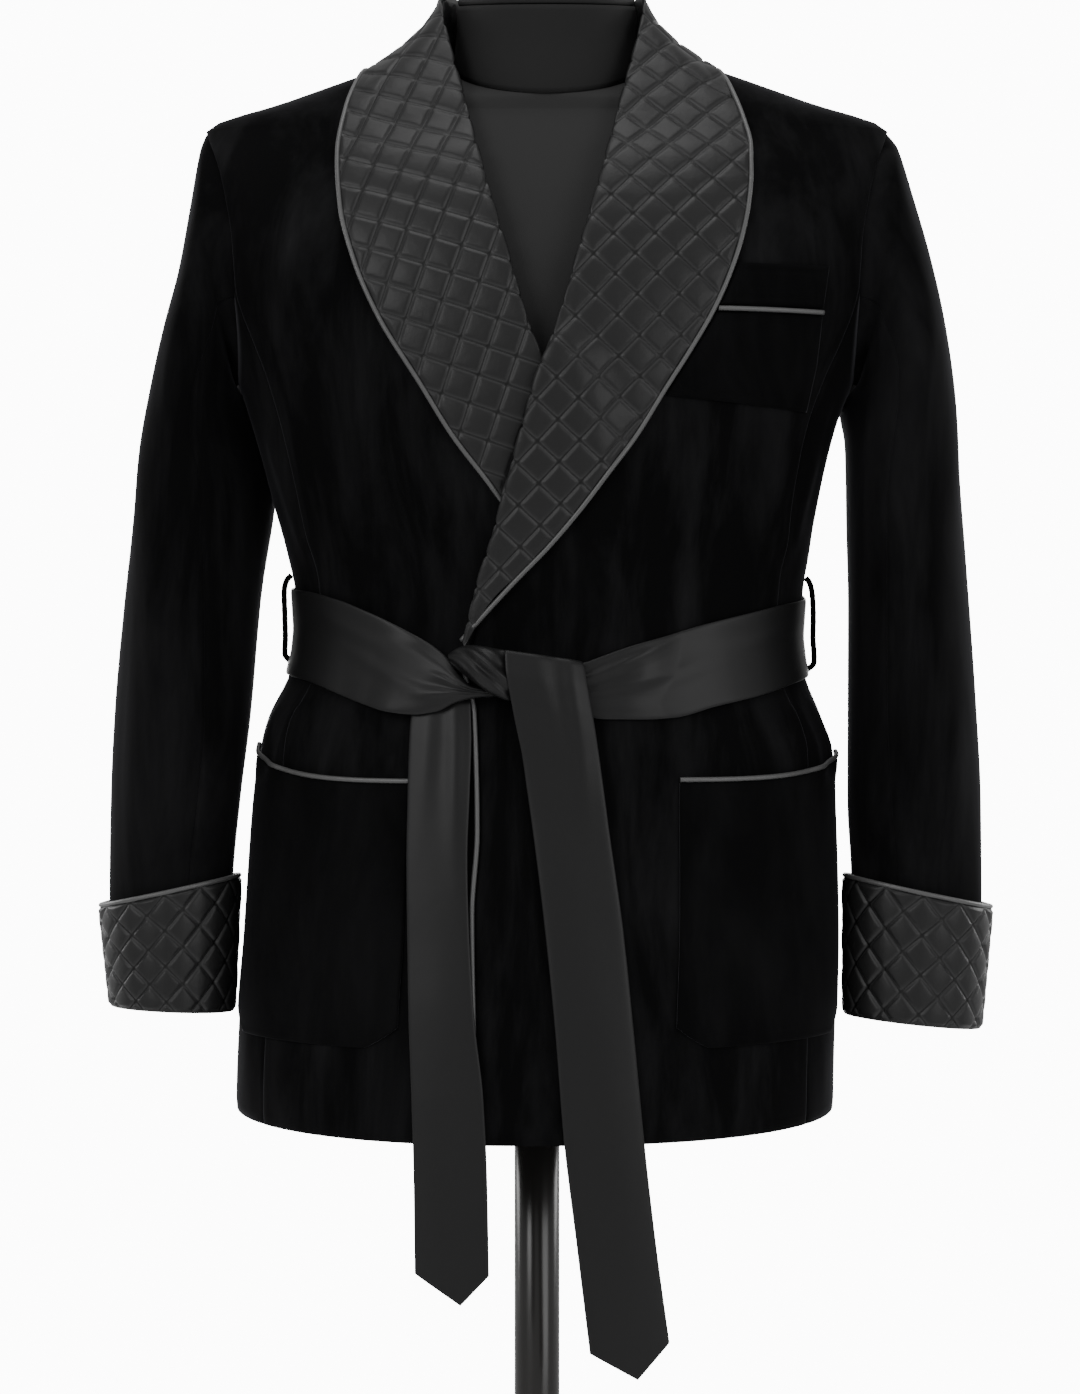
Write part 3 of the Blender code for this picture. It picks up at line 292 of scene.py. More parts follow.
def lap_lift(turn, z):
    """How far the lapping front's underside stands off the jacket's surface."""
    x = ring_point(np.asarray(turn, float), np.asarray(z, float))[..., 0]
    under_roll = 2 * MIRROR_X - edge_x(z)
    over_front = (1 - ease(x, *LAP_FADE_X)) * (1 - ease(z, *LAP_FADE_Z))
    over_collar = 1 - ease(x - under_roll, *OVER_COLLAR_FADE_X)
    over_collar = over_collar * ease(z, *OVER_COLLAR_RISE_Z) * (1 - ease(z, *OVER_COLLAR_FADE_Z))
    return LAP_LIFT * over_front + OVER_COLLAR_LIFT * over_collar


def armhole_turn(z):
    """Half the armhole's width in degrees at this height: the armhole is an ellipse."""
    share = np.clip((z - ARMHOLE_Z) / ARMHOLE_HEIGHT, -1, 1)
    return ARMHOLE_TURN * np.sqrt(1 - share**2)


def armhole_foot(turn):
    """Height of the armhole's lower edge at this turn."""
    share = np.clip((np.asarray(turn) - 90) / ARMHOLE_TURN, -1, 1)
    return ARMHOLE_Z - ARMHOLE_HEIGHT * np.sqrt(1 - share**2)


def hem_height(turn, z):
    """The height, drawn down near the hem by a dip that goes with the cosine of the turn."""
    dip = HEM_DIP * np.maximum(np.cos(np.radians(turn)), 0)
    return z - dip * np.clip((HEM_Z + HEM_FADE - z) / HEM_FADE, 0, 1)


def quads(rows, cols, wrap=False):
    """Faces of a point grid of this many rows and columns."""
    number = np.arange(rows * cols).reshape(rows, cols)
    if wrap:
        number = np.concatenate([number, number[:, :1]], axis=1)
    return np.stack(
        [number[:-1, :-1], number[:-1, 1:], number[1:, 1:], number[1:, :-1]], axis=-1
    ).reshape(-1, 4)


def make_mesh(name, points, faces, look, puff=None):
    """Object of quads from points in millimetres. Coincident points are joined, faces that
    shrink to a line are dropped and all is shaded smooth. puff, one share for each point, is
    kept as an attribute, from which the quilted satin paints its shade and highlights."""
    points = np.asarray(points, float).reshape(-1, 3)
    keys = np.round(points * 1000).astype(np.int64)
    _, first, back = np.unique(keys, axis=0, return_index=True, return_inverse=True)
    faces = first[back.reshape(-1)[faces]]
    used, faces = np.unique(faces, return_inverse=True)
    faces = faces.reshape(-1, 4)
    rows = []
    for face in faces.tolist():
        corners = [c for k, c in enumerate(face) if c != face[k - 1]]
        if len(corners) > 2 and len(set(corners)) == len(corners):
            rows.append(corners)
    mesh = bpy.data.meshes.new(name)
    mesh.from_pydata((points[used] * MM).tolist(), [], rows)
    mesh.shade_smooth()
    mesh.materials.append(look)
    if puff is not None:
        kept = np.asarray(puff, float).reshape(-1)[used]
        mesh.attributes.new("puff", "FLOAT", "POINT").data.foreach_set("value", kept)
    made = bpy.data.objects.new(name, mesh)
    bpy.context.scene.collection.objects.link(made)
    return made


def shell(name, outer, inner, look):
    """Closed wall between two point grids of the same shape, faces outwards."""
    rows, cols = outer.shape[:2]
    number = np.arange(rows * cols).reshape(rows, cols)
    total = rows * cols
    skin = quads(rows, cols)
    borders = [number[0], number[-1][::-1], number[:, -1], number[:, 0][::-1]]
    walls = [np.stack([e[1:], e[:-1], e[:-1] + total, e[1:] + total], axis=1) for e in borders]
    faces = np.concatenate([skin, skin[:, ::-1] + total, *walls])
    points = np.concatenate([outer.reshape(-1, 3), inner.reshape(-1, 3)])
    middle = skin[len(skin) // 2]
    a, b, c = points[middle[0]], points[middle[1]], points[middle[3]]
    outwards_there = points[middle[0]] - points[middle[0] + total]
    if np.dot(np.cross(b - a, c - a), outwards_there) < 0:
        faces = faces[:, ::-1]
    return make_mesh(name, points, faces, look)


def dress(piece, node):
    """The new piece moves with the part and stands for this CAD node."""
    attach(piece, "root")
    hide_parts(node)


def close_up(count, near=(0.0, 0.004, 0.01, 0.02)):
    """Shares from 0 to 1 that lie closer together at both ends, for turned seams."""
    near = np.array(near)
    middle = np.linspace(near[-1], 1 - near[-1], count)[1:-1]
    return np.concatenate([near, middle, 1 - near[::-1]])


def add_noise(tree, scale, **more):
    """Noise on the piece's own coordinates."""
    noise = add_node(tree, "TexNoise", Scale=scale, **more)
    link(tree, add_node(tree, "TexCoord"), "Object", noise, "Vector")
    return noise


def add_bump(tree, source, strength, distance, onto):
    """A bump from the source's noise, which gives its normal to the node onto."""
    bump = add_node(tree, "Bump", Strength=strength, Distance=distance)
    link(tree, source, "Fac", bump, "Height")
    link(tree, bump, "Normal", onto, "Normal")
    return bump


def add_ramp(tree, source, *steps):
    """A colour ramp over the source's value. Each step is a position and a colour."""
    ramp = add_node(tree, "ValToRGB")
    elements = ramp.color_ramp.elements
    for position, _ in steps[1:-1]:
        elements.new(position)
    for element, (position, colour) in zip(elements, steps):
        element.position = position
        element.color = (*colour, 1)
    link(tree, source, "Fac", ramp, "Fac")
    return ramp


def velvet(name, streak_scale, seed, light=0.0062):
    """Black cotton velvet with a short nap, which drinks the light and shows a thin grey sheen.
    Noise stretched upright makes the soft streaks where it has been brushed."""
    made, tree, shader = tree_of(name)
    mapping = add_node(tree, "Mapping", Scale=streak_scale,
                       Location=(seed, seed * 0.7, seed * 0.3))
    link(tree, add_node(tree, "TexCoord"), "Object", mapping, "Vector")
    streaks = add_node(tree, "TexNoise", Scale=1.0, Detail=5, Roughness=0.62, Distortion=0.35)
    link(tree, mapping, "Vector", streaks, "Vector")
    colour = add_ramp(tree, streaks, (0.42, (0.0011, 0.0011, 0.0012)),
                      (0.78, (light, light, light * 1.06)))
    link(tree, colour, "Color", shader, "Base Color")
    set_inputs(shader, Roughness=1.0, Specular_IOR_Level=0.04, Sheen_Weight=0.035,
               Sheen_Roughness=0.3, Sheen_Tint=(0.9, 0.9, 1.0, 1))
    add_bump(tree, add_noise(tree, 900, Detail=2), 0.12, 0.0004, shader)
    return made


VELVET_BODY = velvet("velvet_body", (26, 26, 5), 3.1)


def seam_dip(across_mm, width=1.6):
    """Depth of the turned edge this far from the nearest seam."""
    return SEAM_DEPTH * np.exp(-((across_mm / width) ** 2))


def edge_distance(grid):
    """Distance along each row from the nearer end of the row, in millimetres."""
    run = np.linalg.norm(np.diff(grid, axis=1), axis=-1)
    run = np.concatenate([np.zeros((len(grid), 1)), np.cumsum(run, axis=1)], axis=1)
    return np.minimum(run, run[:, -1:] - run)


def panel(name, turn, z, lift, node):
    """Panel over a grid of turns and heights: its outer side has the small folds and turned
    edges, its inner side lies a cloth's thickness below."""
    fine = ridges(turn, z, SMALL_FOLDS)
    base = surface(turn, z, lift)
    dip = seam_dip(edge_distance(base))
    hem = seam_dip(z - z.min(axis=0, keepdims=True), 2.5) * 0.6
    outer = surface(turn, z, lift + CLOTH + fine - dip - hem)
    inner = surface(turn, z, lift + np.maximum(fine - 0.2, 0))
    piece = shell(name, outer, inner, VELVET_BODY)
    dress(piece, node)


def front_rows():
    """Heights of a front's rows: even up to the armhole, closer at its ends, then the shoulder."""
    low = np.linspace(HEM_Z, ARMHOLE_Z - ARMHOLE_HEIGHT, 78)
    arm = ARMHOLE_Z - ARMHOLE_HEIGHT * np.cos(np.linspace(0, math.pi, 33))
    top = np.linspace(ARMHOLE_Z + ARMHOLE_HEIGHT, SHOULDER_TOP, 12)
    return np.concatenate([low, arm[1:], top[1:]])


for side, hand in ((1, "left"), (-1, "right")):
    z = front_rows()
    set_back = EDGE_SETBACK * ease(z, *SETBACK_Z)
    near = turn_at(edge_x(z) + set_back, z)
    if side < 0:
        near = -turn_at(2 * MIRROR_X - edge_x(z) - set_back, z)
    far = np.where(z < ARMHOLE_Z, SIDE_SEAM, 90.0)
    armed = (z >= armhole_foot(SIDE_SEAM)) & (z <= ARMHOLE_Z + ARMHOLE_HEIGHT)
    far = np.where(armed, 90 - armhole_turn(z), far) - SEAM_GAP
    turn = side * (near[:, None] + (far - near)[:, None] * close_up(44))
    height = hem_height(turn, z[:, None] + 0 * turn)
    lift = lap_lift(turn, height) if side > 0 else 0 * turn
    panel("velvet_front_" + hand, turn, height, lift, "front_" + hand)

    low = np.linspace(HEM_Z, SIDE_BEND_Z, 64)
    rows = np.concatenate([low, np.linspace(SIDE_BEND_Z, ARMHOLE_Z - ARMHOLE_HEIGHT, 14)[1:]])
    turn, z = np.meshgrid(SIDE_SEAM + (180 - 2 * SIDE_SEAM) * close_up(26), rows)
    share = np.clip((z - SIDE_BEND_Z) / (rows[-1] - SIDE_BEND_Z), 0, 1)
    bent = SIDE_BEND_Z + share * (armhole_foot(turn) - SIDE_BEND_Z)
    z = np.where(z > SIDE_BEND_Z, bent, z)
    z = hem_height(turn, z)
    panel("velvet_side_" + hand, side * turn, z, 0 * z, "side_" + hand)

z = np.concatenate([front_rows(), [SHOULDER_TOP + 1]])
near = np.where(z < ARMHOLE_Z, 180 - SIDE_SEAM, 90.0)
armed = (z >= armhole_foot(SIDE_SEAM)) & (z <= ARMHOLE_Z + ARMHOLE_HEIGHT)
near = np.where(armed, 90 + armhole_turn(z), near) + SEAM_GAP
turn = near[:, None] + (360 - 2 * near)[:, None] * close_up(66)
height = hem_height(turn, z[:, None] + 0 * turn)
height[-1] += (1 - np.abs(turn[-1] - 180) / 90) * BACK_NECK_RISE
panel("velvet_back", turn, height, 0 * turn, "back")


# Sleeves
# Two-piece velvet sleeves set into the armholes, seamed in front and behind. They hang almost
# straight, with long soft folds down from the sleeve head and creases at the elbow.

# Sections: outer x, z, inner x, z, half depth, centre y, turn of the section in degrees
SLEEVE_LEFT = (
    (251, 1400, 224.4, 1231.8, 66, 2, 0), (262, 1362, 221, 1228, 72, 1, -4),
    (271, 1322, 218, 1222, 77, 0, -8), (279, 1280, 215.5, 1215, 80, -1, -9),
    (286, 1240, 215.5, 1206, 80, -2, -7), (292, 1194, 216, 1192, 79, -3, -3),
    (297.4, 1138, 216, 1138, 76, -5, 2), (301.6, 1082, 217, 1082, 72, -8, 4),
    (306, 1012, 216.5, 1010, 67, -13, 5), (309, 942, 216, 942, 58, -18, 3),
    (309, 880, 218.5, 884, 46, -22, 0), (304.4, 789, 216.8, 798, 45.6, -24, 0),
)
SLEEVE_RIGHT = (
    (234.5, 1399, 211, 1231.8, 66, 2, 0), (241, 1357, 208.5, 1228, 72, 1, -3),
    (246, 1315, 206.5, 1222, 77, 0, -7), (254, 1275, 204, 1215, 80, -1, -10),
    (260.5, 1238, 201.5, 1206, 80, -2, -12), (266, 1197, 197.5, 1194, 79, -3, -14),
    (274, 1155, 187.5, 1154, 77, -5, -12), (286.5, 1082, 193.5, 1082, 72, -8, -4),
    (294, 1008, 199, 1006, 67, -13, 2), (296.5, 948, 206, 946, 58, -18, 3),
    (297, 880, 211.5, 885, 46, -22, 0), (292.2, 806, 214.3, 803, 45.6, -24, 0),
)
SLEEVE_SEAMS = (112, 262)
VELVET_SLEEVE = velvet("velvet_sleeve", (22, 22, 4), 11.7)
# Folds: place along the sleeve, length, turn round it, width in degrees, height
SLEEVE_FOLDS = (
    (2.2, 2.6, 58, 15, 4.0), (4.6, 2.4, 78, 12, 3.2), (6.6, 2.2, 40, 14, 3.0),
    (3.4, 2.4, 300, 16, 3.4), (6.0, 2.4, 320, 14, 3.0), (8.4, 1.8, 66, 14, 2.6),
    (3.0, 2.2, 100, 8, 1.6), (5.4, 2.0, 20, 9, 1.4), (7.6, 1.6, 92, 8, 1.5),
    (9.6, 1.6, 50, 9, 1.3), (4.0, 2.6, 20, 8, 1.2), (6.8, 1.4, 118, 8, 1.6),
    (7.4, 1.8, 290, 10, 1.8), (4.6, 1.6, 270, 10, 1.5), (9.4, 1.8, 330, 9, 1.4),
)


def sleeve_section(row, angle, shrink, side):
    """One sleeve section, an ellipse about its middle: angle 0 is outermost, 90 the front and
    180 innermost."""
    outer_x, outer_z, inner_x, inner_z, depth, centre_y, twist = row
    middle = np.array([(outer_x + inner_x) / 2, centre_y, (outer_z + inner_z) / 2])
    half = np.array([(outer_x - inner_x) / 2, 0, (outer_z - inner_z) / 2])
    half = half * (1 - shrink / np.linalg.norm(half))
    cosine, sine = np.cos(np.radians(angle)), np.sin(np.radians(angle))
    ahead = np.array([-math.tan(math.radians(twist)), -1, 0]) * (depth - shrink)
    points = middle + cosine[:, None] * half + sine[:, None] * ahead
    points[:, 0] *= side
    return points


def sleeve_fold(place, angle):
    """Height of the sleeve's folds at this place along it and angle round it, a bell both ways."""
    total = 0 * angle
    for middle, length, turn, width, height in SLEEVE_FOLDS:
        away = (angle - turn - 6 * (place - middle) + 180) % 360 - 180
        bell = np.exp(-((away / width) ** 2)) * np.exp(-(((place - middle) / length * 2) ** 2))
        total = total + height * bell
    return total


def sleeve_rings(table, angle, shrink, side):
    """The armhole ring and the table's sections, read smoothly along the sleeve."""
    sine, cosine = np.sin(np.radians(angle)), np.cos(np.radians(angle))
    rings = []
    for wider, lift in ((0.5, -0.5), (-0.5, 0.6)):
        turn = 90 - (ARMHOLE_TURN + wider - 0.45 * shrink) * sine
        z = ARMHOLE_Z + (ARMHOLE_HEIGHT + 2 * wider - shrink) * cosine
        rings.append(surface(side * turn, z, lift - (shrink if lift < 0 else 0)))
    rings += [sleeve_section(row, angle, shrink, side) for row in table]
    places = np.linspace(1, len(table) + 1, 100)[1:]
    places = np.concatenate([[0, 0.35, 0.7], np.linspace(1, places[0], 3)[:-1], places])
    grid = smooth(places, np.arange(len(rings)), np.array(rings))
    middle = grid.mean(axis=1, keepdims=True)
    raised = sleeve_fold(places[:, None] - 1, angle[None, :]) * ease(places, 1.0, 2.4)[:, None]
    return grid + unit(grid - middle) * raised[..., None]


def build_sleeve(table, side, hand):
    """The top and the under sleeve, each a shell between two of the sleeve's seams."""
    first, second = SLEEVE_SEAMS
    spans = (
        ("top", second - 360, first, 48, (250, 660)),
        ("under", first, second, 34, (190, 560)),
    )
    for part, start, end, count, flat in spans:
        angle = start + (end - start) * close_up(count, (0, 0.006, 0.014, 0.026))
        outer = sleeve_rings(table, angle, 0.0, side)
        inner = sleeve_rings(table, angle, CLOTH, side)
        dip = seam_dip(edge_distance(outer))[..., None]
        outer = outer + unit(inner - outer) * dip
        piece = shell(f"velvet_sleeve_{part}_{hand}", outer, inner, VELVET_SLEEVE)
        dress(piece, f"sleeve_{part}_{hand}")


build_sleeve(SLEEVE_LEFT, 1, "left")
build_sleeve(SLEEVE_RIGHT, -1, "right")


# Dress form
# A limbless form of hard shell, covered in close dark cloth. The cover is seamed round the
# neck, and a padded cap in the same cloth closes the neck.

FORM = (
    (775, 165, 2, 104, 108), (784, 172, 2, 110, 113), (830, 180, 2, 118, 120),
    (900, 182, 3, 120, 116), (980, 172, 5, 110, 106), (1050, 157, 7, 101, 98),
    (1110, 163, 7, 105, 102), (1180, 178, 6, 114, 108), (1240, 192, 6, 118, 114),
    (1300, 203, 7, 112, 116), (1350, 205, 7, 97, 108), (1385, 203, 7, 80, 98),
    (1408, 192, 7, 66, 88), (1426, 185.8, 7, 59, 87), (1445, 132.8, 7, 58, 72),
    (1450, 92, 6.5, 57.5, 66), (1452, 76, 6.5, 57, 66),
)
FORM_TILT_FROM = 1408
NECK_SEAM_DIP = 24
NECK_TOP_DIP = 7
NECK_RADII = (62.5, 60)
NECK_CENTRE = (6.5, 4)
NECK_Z = (1452.4, 1497)
CAP_RADIUS = 61
# The cap's edge, from below: distance out from CAP_RADIUS, height
CAP_EDGE = (
    (-4, 0.3), (-0.4, 0.4), (0.6, 1.4), (1, 3), (0.8, 5), (0, 6.8), (-1.4, 8.2), (-4, 9.0),
    (-30, 9.4),
)
FORM_ROOM = 4.0


def cloth_look(name, colour, roughness, thread_scale, depth):
    """Plain woven cloth: a fine bump of crossed threads under a matt surface."""
    made, tree, shader = tree_of(name)
    threads = add_noise(tree, thread_scale, Detail=3)
    add_bump(tree, threads, 0.3, depth, shader)
    shade = add_ramp(tree, threads, (0, [c * 0.82 for c in colour]), (1, colour))
    link(tree, shade, "Color", shader, "Base Color")
    set_inputs(shader, Roughness=roughness, Specular_IOR_Level=0.16)
    return made


FORM_LOOK = cloth_look("form_cover", (0.0115, 0.0115, 0.0115), 0.85, 1400, 0.0003)
# The neck's cover and the cap are the form's cloth, given a darker colour as painted shade
NECK_SHADED_LOOK = cloth_look("neck_cover", (0.0062, 0.0062, 0.0062), 0.85, 1400, 0.0003)
CAP_SHADED_LOOK = cloth_look("cap_cover", (0.006, 0.006, 0.006), 0.75, 1400, 0.0003)


def form_ring(turn, z):
    """The form's rings, read as the jacket's are, with the slope round the neck seam."""
    table = np.array(FORM, float)
    x, y, _ = np.moveaxis(ring_point(turn, z, table[:, 0], table[:, 1:].T), -1, 0)
    share = np.clip((z - FORM_TILT_FROM) / (FORM[-1][0] - FORM_TILT_FROM), 0, 1) ** 1.2
    rise = ease(z, 1450, 1452)
    slope = NECK_SEAM_DIP * np.where(y > 0, y * rise, y) / NECK_RADII[1]
    return np.stack([x, y, z + slope * share], axis=-1)


def under_cloth(points):
    """The form's points, drawn in at the back and the shoulders until the jacket's ring that is
    FORM_ROOM higher up holds them."""
    half, centre, _, back = [smooth(points[..., 2] + FORM_ROOM, BODY_Z, s) for s in BODY_SIZES]
    across = np.abs(points[..., 0] - centre) / half
    along = np.maximum(points[..., 1], 0) / back
    size = (across**ROUNDNESS + along**ROUNDNESS) ** (1 / ROUNDNESS)
    keep = 1 - (1 - 1 / np.maximum(size, 1)) * ease(points[..., 1], -40, -10)
    x = centre + (points[..., 0] - centre) * keep
    return np.stack([x, points[..., 1] * keep, points[..., 2]], axis=-1)


def closed_rings(name, rings, look):
    """Solid through rings of points whose ends are drawn in to a point."""
    ends = [np.broadcast_to(r.mean(axis=0), r.shape) for r in (rings[0], rings[-1])]
    rings = np.concatenate([ends[0][None], rings, ends[1][None]])
    rows, cols = rings.shape[:2]
    faces = quads(rows, cols, True)
    middle = len(rings) // 2
    a, b, c = rings[middle, 0], rings[middle, 1], rings[middle + 1, 0]
    if np.dot(np.cross(b - a, c - a), a - rings[middle].mean(axis=0)) < 0:
        faces = faces[:, ::-1]
    return make_mesh(name, rings, faces, look)


turn, z = np.meshgrid(
    np.arange(96) * 360 / 96,
    np.concatenate([[775, 777, 780], np.linspace(784, 1426, 60), np.linspace(1428, 1452, 14)]),
)
torso = closed_rings("form_torso_cover", under_cloth(form_ring(turn, z)), FORM_LOOK)
dress(torso, "form_torso")

angle = np.arange(96) * 2 * math.pi / 96
low, high = NECK_Z
rings = []
for level in np.linspace(low, high, 16):
    grow = 2.5 * (1 - ease(level, low, low + 30)) - 0.3 * math.exp(-(((level - low) / 1.2) ** 2))
    x = NECK_CENTRE[0] + (NECK_RADII[0] + grow) * np.sin(angle)
    y = NECK_CENTRE[1] - (NECK_RADII[1] + grow) * np.cos(angle)
    dip = NECK_SEAM_DIP + (NECK_TOP_DIP - NECK_SEAM_DIP) * (level - low) / (high - low)
    rings.append(np.stack([x, y, level + dip * y / NECK_RADII[1]], axis=-1))
neck = closed_rings("form_neck_cover", np.array(rings), NECK_SHADED_LOOK)
dress(neck, "form_neck")

rings = []
for radius, level in CAP_EDGE:
    x = NECK_CENTRE[0] + (CAP_RADIUS + radius) * np.sin(angle)
    y = NECK_CENTRE[1] - (CAP_RADIUS - 2.5 + radius) * np.cos(angle)
    rings.append(np.stack([x, y, high + level + NECK_TOP_DIP * y / NECK_RADII[1]], axis=-1))
cap = closed_rings("neck_cap_cover", np.array(rings), CAP_SHADED_LOOK)
dress(cap, "neck_cap")


# Stand
# A round steel pole that stands in the socket of a flat round base and runs up into the form.
# Both are painted gloss black.

POLE_RADIUS = 15.8
POLE_Z = (34.3, 774.7)
# The base's outline: radius, height
BASE = (
    (20, 34), (23, 33.2), (24, 31), (25, 20), (28, 13), (36, 10), (100, 8.6), (174, 7.2),
    (178.5, 6), (180, 4), (180, 1), (179, 0),
)

gloss, tree, shader = tree_of("gloss_black_paint")
polish = add_ramp(tree, add_noise(tree, 30), (0, (0.19, 0.19, 0.19)), (1, (0.26, 0.26, 0.26)))
link(tree, polish, "Color", shader, "Roughness")
set_inputs(shader, Base_Color=(0.009, 0.0085, 0.008, 1), Specular_IOR_Level=0.25)


def turned(name, profile, steps, look):
    """Solid of revolution about Z of a profile of radius and height."""
    profile = np.array(profile, float)
    angle = np.arange(steps) * 2 * math.pi / steps
    x, y = profile[:, :1] * np.cos(angle), profile[:, :1] * np.sin(angle)
    rings = np.stack([x, y, profile[:, 1:] + 0 * x], axis=-1)
    return closed_rings(name, rings, look)


pole = turned(
    "pole",
    [(POLE_RADIUS - 0.5, POLE_Z[0]), (POLE_RADIUS, POLE_Z[0] + 0.5),
     (POLE_RADIUS, POLE_Z[1] - 0.5), (POLE_RADIUS - 0.5, POLE_Z[1])],
    72, gloss,
)
dress(pole, "stand_pole")
base = turned("round_base", BASE, 144, gloss)
dress(base, "stand_base")


# Patch pockets
# Velvet patches with cut-off lower corners, sewn on by their edges and a little full, with satin
# piping along each mouth.

POCKET_TURNS = (23.5, 81.0)
POCKET_MOUTH = {1: (956, 974), -1: (955, 979)}
POCKET_BOTTOM = (777, 784)
POCKET_CHAMFER = 15
POCKET_THICK = 2.0
POCKET_BELLY = 1.6
PIPING_RADIUS = 1.7
STITCH_LINE = 5.0
LAY_GAP = 0.6
VELVET_POCKET = velvet("velvet_pocket", (18, 18, 6), 27.3, light=0.0035)
# Quilted satin: painted shade as the colour on a stitched line, then shares of the colour by
# height of the puff, for painted shade near the line, a painted highlight on the slopes beside it and
# painted shade on the tops
QUILT_LINE_SHADE = (0.0008, 0.0008, 0.0008)
QUILT_LIGHT_AND_SHADE = ((0.14, 0.8), (0.32, 2.4), (0.55, 1.3), (0.8, 0.75))


def satin(name, colour, roughness, shine, crinkle, crinkle_scale, painted_line_shade=False):
    """Satin: a smooth dark cloth with broad soft highlights and a faint crinkle. On quilting, its
    colour carries painted shade, darkest on a stitched line, and a painted highlight, lightest beside
    it, as the piece's own attribute tells."""
    made, tree, shader = tree_of(name)
    bump = add_bump(tree, add_noise(tree, crinkle_scale, Detail=4), crinkle, 0.0012, shader)
    add_bump(tree, add_noise(tree, 1500), 0.25, 0.0002, bump)
    set_inputs(shader, Base_Color=(*colour, 1), Roughness=roughness, Specular_IOR_Level=shine)
    # Painted shade on the stitched lines and the puffs' tops, and a painted highlight on the slopes
    # between
    if painted_line_shade:
        puff = add_node(tree, "Attribute")
        puff.attribute_name = "puff"
        steps = [(place, [c * share for c in colour]) for place, share in QUILT_LIGHT_AND_SHADE]
        shade = add_ramp(tree, puff, (0.04, QUILT_LINE_SHADE), *steps)
        link(tree, shade, "Color", shader, "Base Color")
    return made


PIPING_LOOK = satin("piping_satin", (0.03, 0.03, 0.03), 0.45, 0.4, 0.3, 160)
LOOP_LOOK = satin("loop_cord", (0.004, 0.004, 0.004), 0.9, 0.0, 0.4, 400)


def tube(name, path, radius, look, sides=12):
    """Round cord along a path of points, its ring turned smoothly along, with closed ends."""
    path = np.asarray(path, float)
    ahead = unit(np.gradient(path, axis=0))
    first = np.cross(ahead[0], [0, 0, 1.0] if abs(ahead[0][2]) < 0.9 else [1.0, 0, 0])
    across = [unit(first)]
    for direction in ahead[1:]:
        kept = across[-1] - direction * np.dot(across[-1], direction)
        across.append(unit(kept))
    across = np.array(across)
    other = np.cross(ahead, across)
    angle = np.arange(sides) * 2 * math.pi / sides
    radii = np.broadcast_to(np.asarray(radius, float), len(path))[:, None, None]
    ring = np.cos(angle)[:, None] * across[:, None] + np.sin(angle)[:, None] * other[:, None]
    return closed_rings(name, path[:, None] + ring * radii, look)


def along_path(points, count):
    """The path through these points, read at even steps along it."""
    points = np.asarray(points, float)
    run = np.concatenate([[0], np.cumsum(np.linalg.norm(np.diff(points, axis=0), axis=1))])
    return smooth(np.linspace(0, run[-1], count), run, points)


def patch_piece(name, turn, z, under, thick, look, node):
    """Flat-lying patch with rounded edges and a shallow stitched line inside its edge."""
    base = surface(turn, z, under)
    sideways = edge_distance(base)
    upright = edge_distance(base.transpose(1, 0, 2)).T
    rim = np.minimum(sideways, upright)
    rounded = 0.8 * np.exp(-((rim / 1.2) ** 2))
    stitched = 0.45 * np.exp(-(((rim - STITCH_LINE) / 1.3) ** 2))
    outer = surface(turn, z, under + thick - rounded - stitched)
    piece = shell(name, outer, base, look)
    dress(piece, node)


for side, hand in ((1, "left"), (-1, "right")):
    share, down = np.meshgrid(close_up(64, (0, 0.008, 0.018)), close_up(84, (0, 0.005, 0.012)))
    low, high = POCKET_MOUTH[side]
    mouth = low + (high - low) * share**2.6
    foot = POCKET_BOTTOM[0] + (POCKET_BOTTOM[1] - POCKET_BOTTOM[0]) * share
    corner = np.clip(1 - np.minimum(share, 1 - share) / 0.13, 0, 1)
    foot = foot + POCKET_CHAMFER * corner**1.3
    turn = side * (POCKET_TURNS[0] + (POCKET_TURNS[1] - POCKET_TURNS[0]) * share)
    z = mouth + (foot - mouth) * down
    full = POCKET_BELLY * np.sin(math.pi * share) * (1 - down**2)
    under = CLOTH + LAY_GAP + full
    patch_piece("velvet_pocket_" + hand, turn, z, under, POCKET_THICK, VELVET_POCKET,
                "pocket_" + hand)
    line = surface(turn[0], z[0] + PIPING_RADIUS + 0.2, under[0] + PIPING_RADIUS - 0.2)
    piece = tube("piping_pocket_" + hand, along_path(line, 90), PIPING_RADIUS, PIPING_LOOK)
    dress(piece, "pocket_piping_" + hand)


# Shawl collar
# One long strip of satin, quilted over thin wadding in squares set askew, so the squares run
# on round the neck from one lapel to the other. It rolls over at the neck and lies on the
# fronts down to its point, with satin piping round its outer edge.

# Round the neck: roll x, y, z, bend place, bend height, leg end x, y, z. x is outwards from the
# middle line.
COLLAR_NECK = (
    (0.3, 73, 1512, 0.0, 17, 0.3, 73.0, 1477.0), (36, 65, 1511, 0.0, 15, 40.5, 61.5, 1475.5),
    (61, 42, 1509, 0.3, -6, 67.0, 38.0, 1471.5), (72, 8, 1506, 0.46, -19, 75.5, 2.0, 1467.5),
    (69.5, -22, 1491, 0.45, -10, 69.0, -17.0, 1459.5),
)
# The outer edge beside those rows, as turn and height. Over the shoulders the sides differ.
COLLAR_BACK_EDGE = ((179.9, 1448), (151, 1444), (122, 1441))
COLLAR_SHOULDER_EDGE = {1: ((84, 1451.5), (35.5, 1420)), -1: ((84, 1448.5), (37, 1419))}
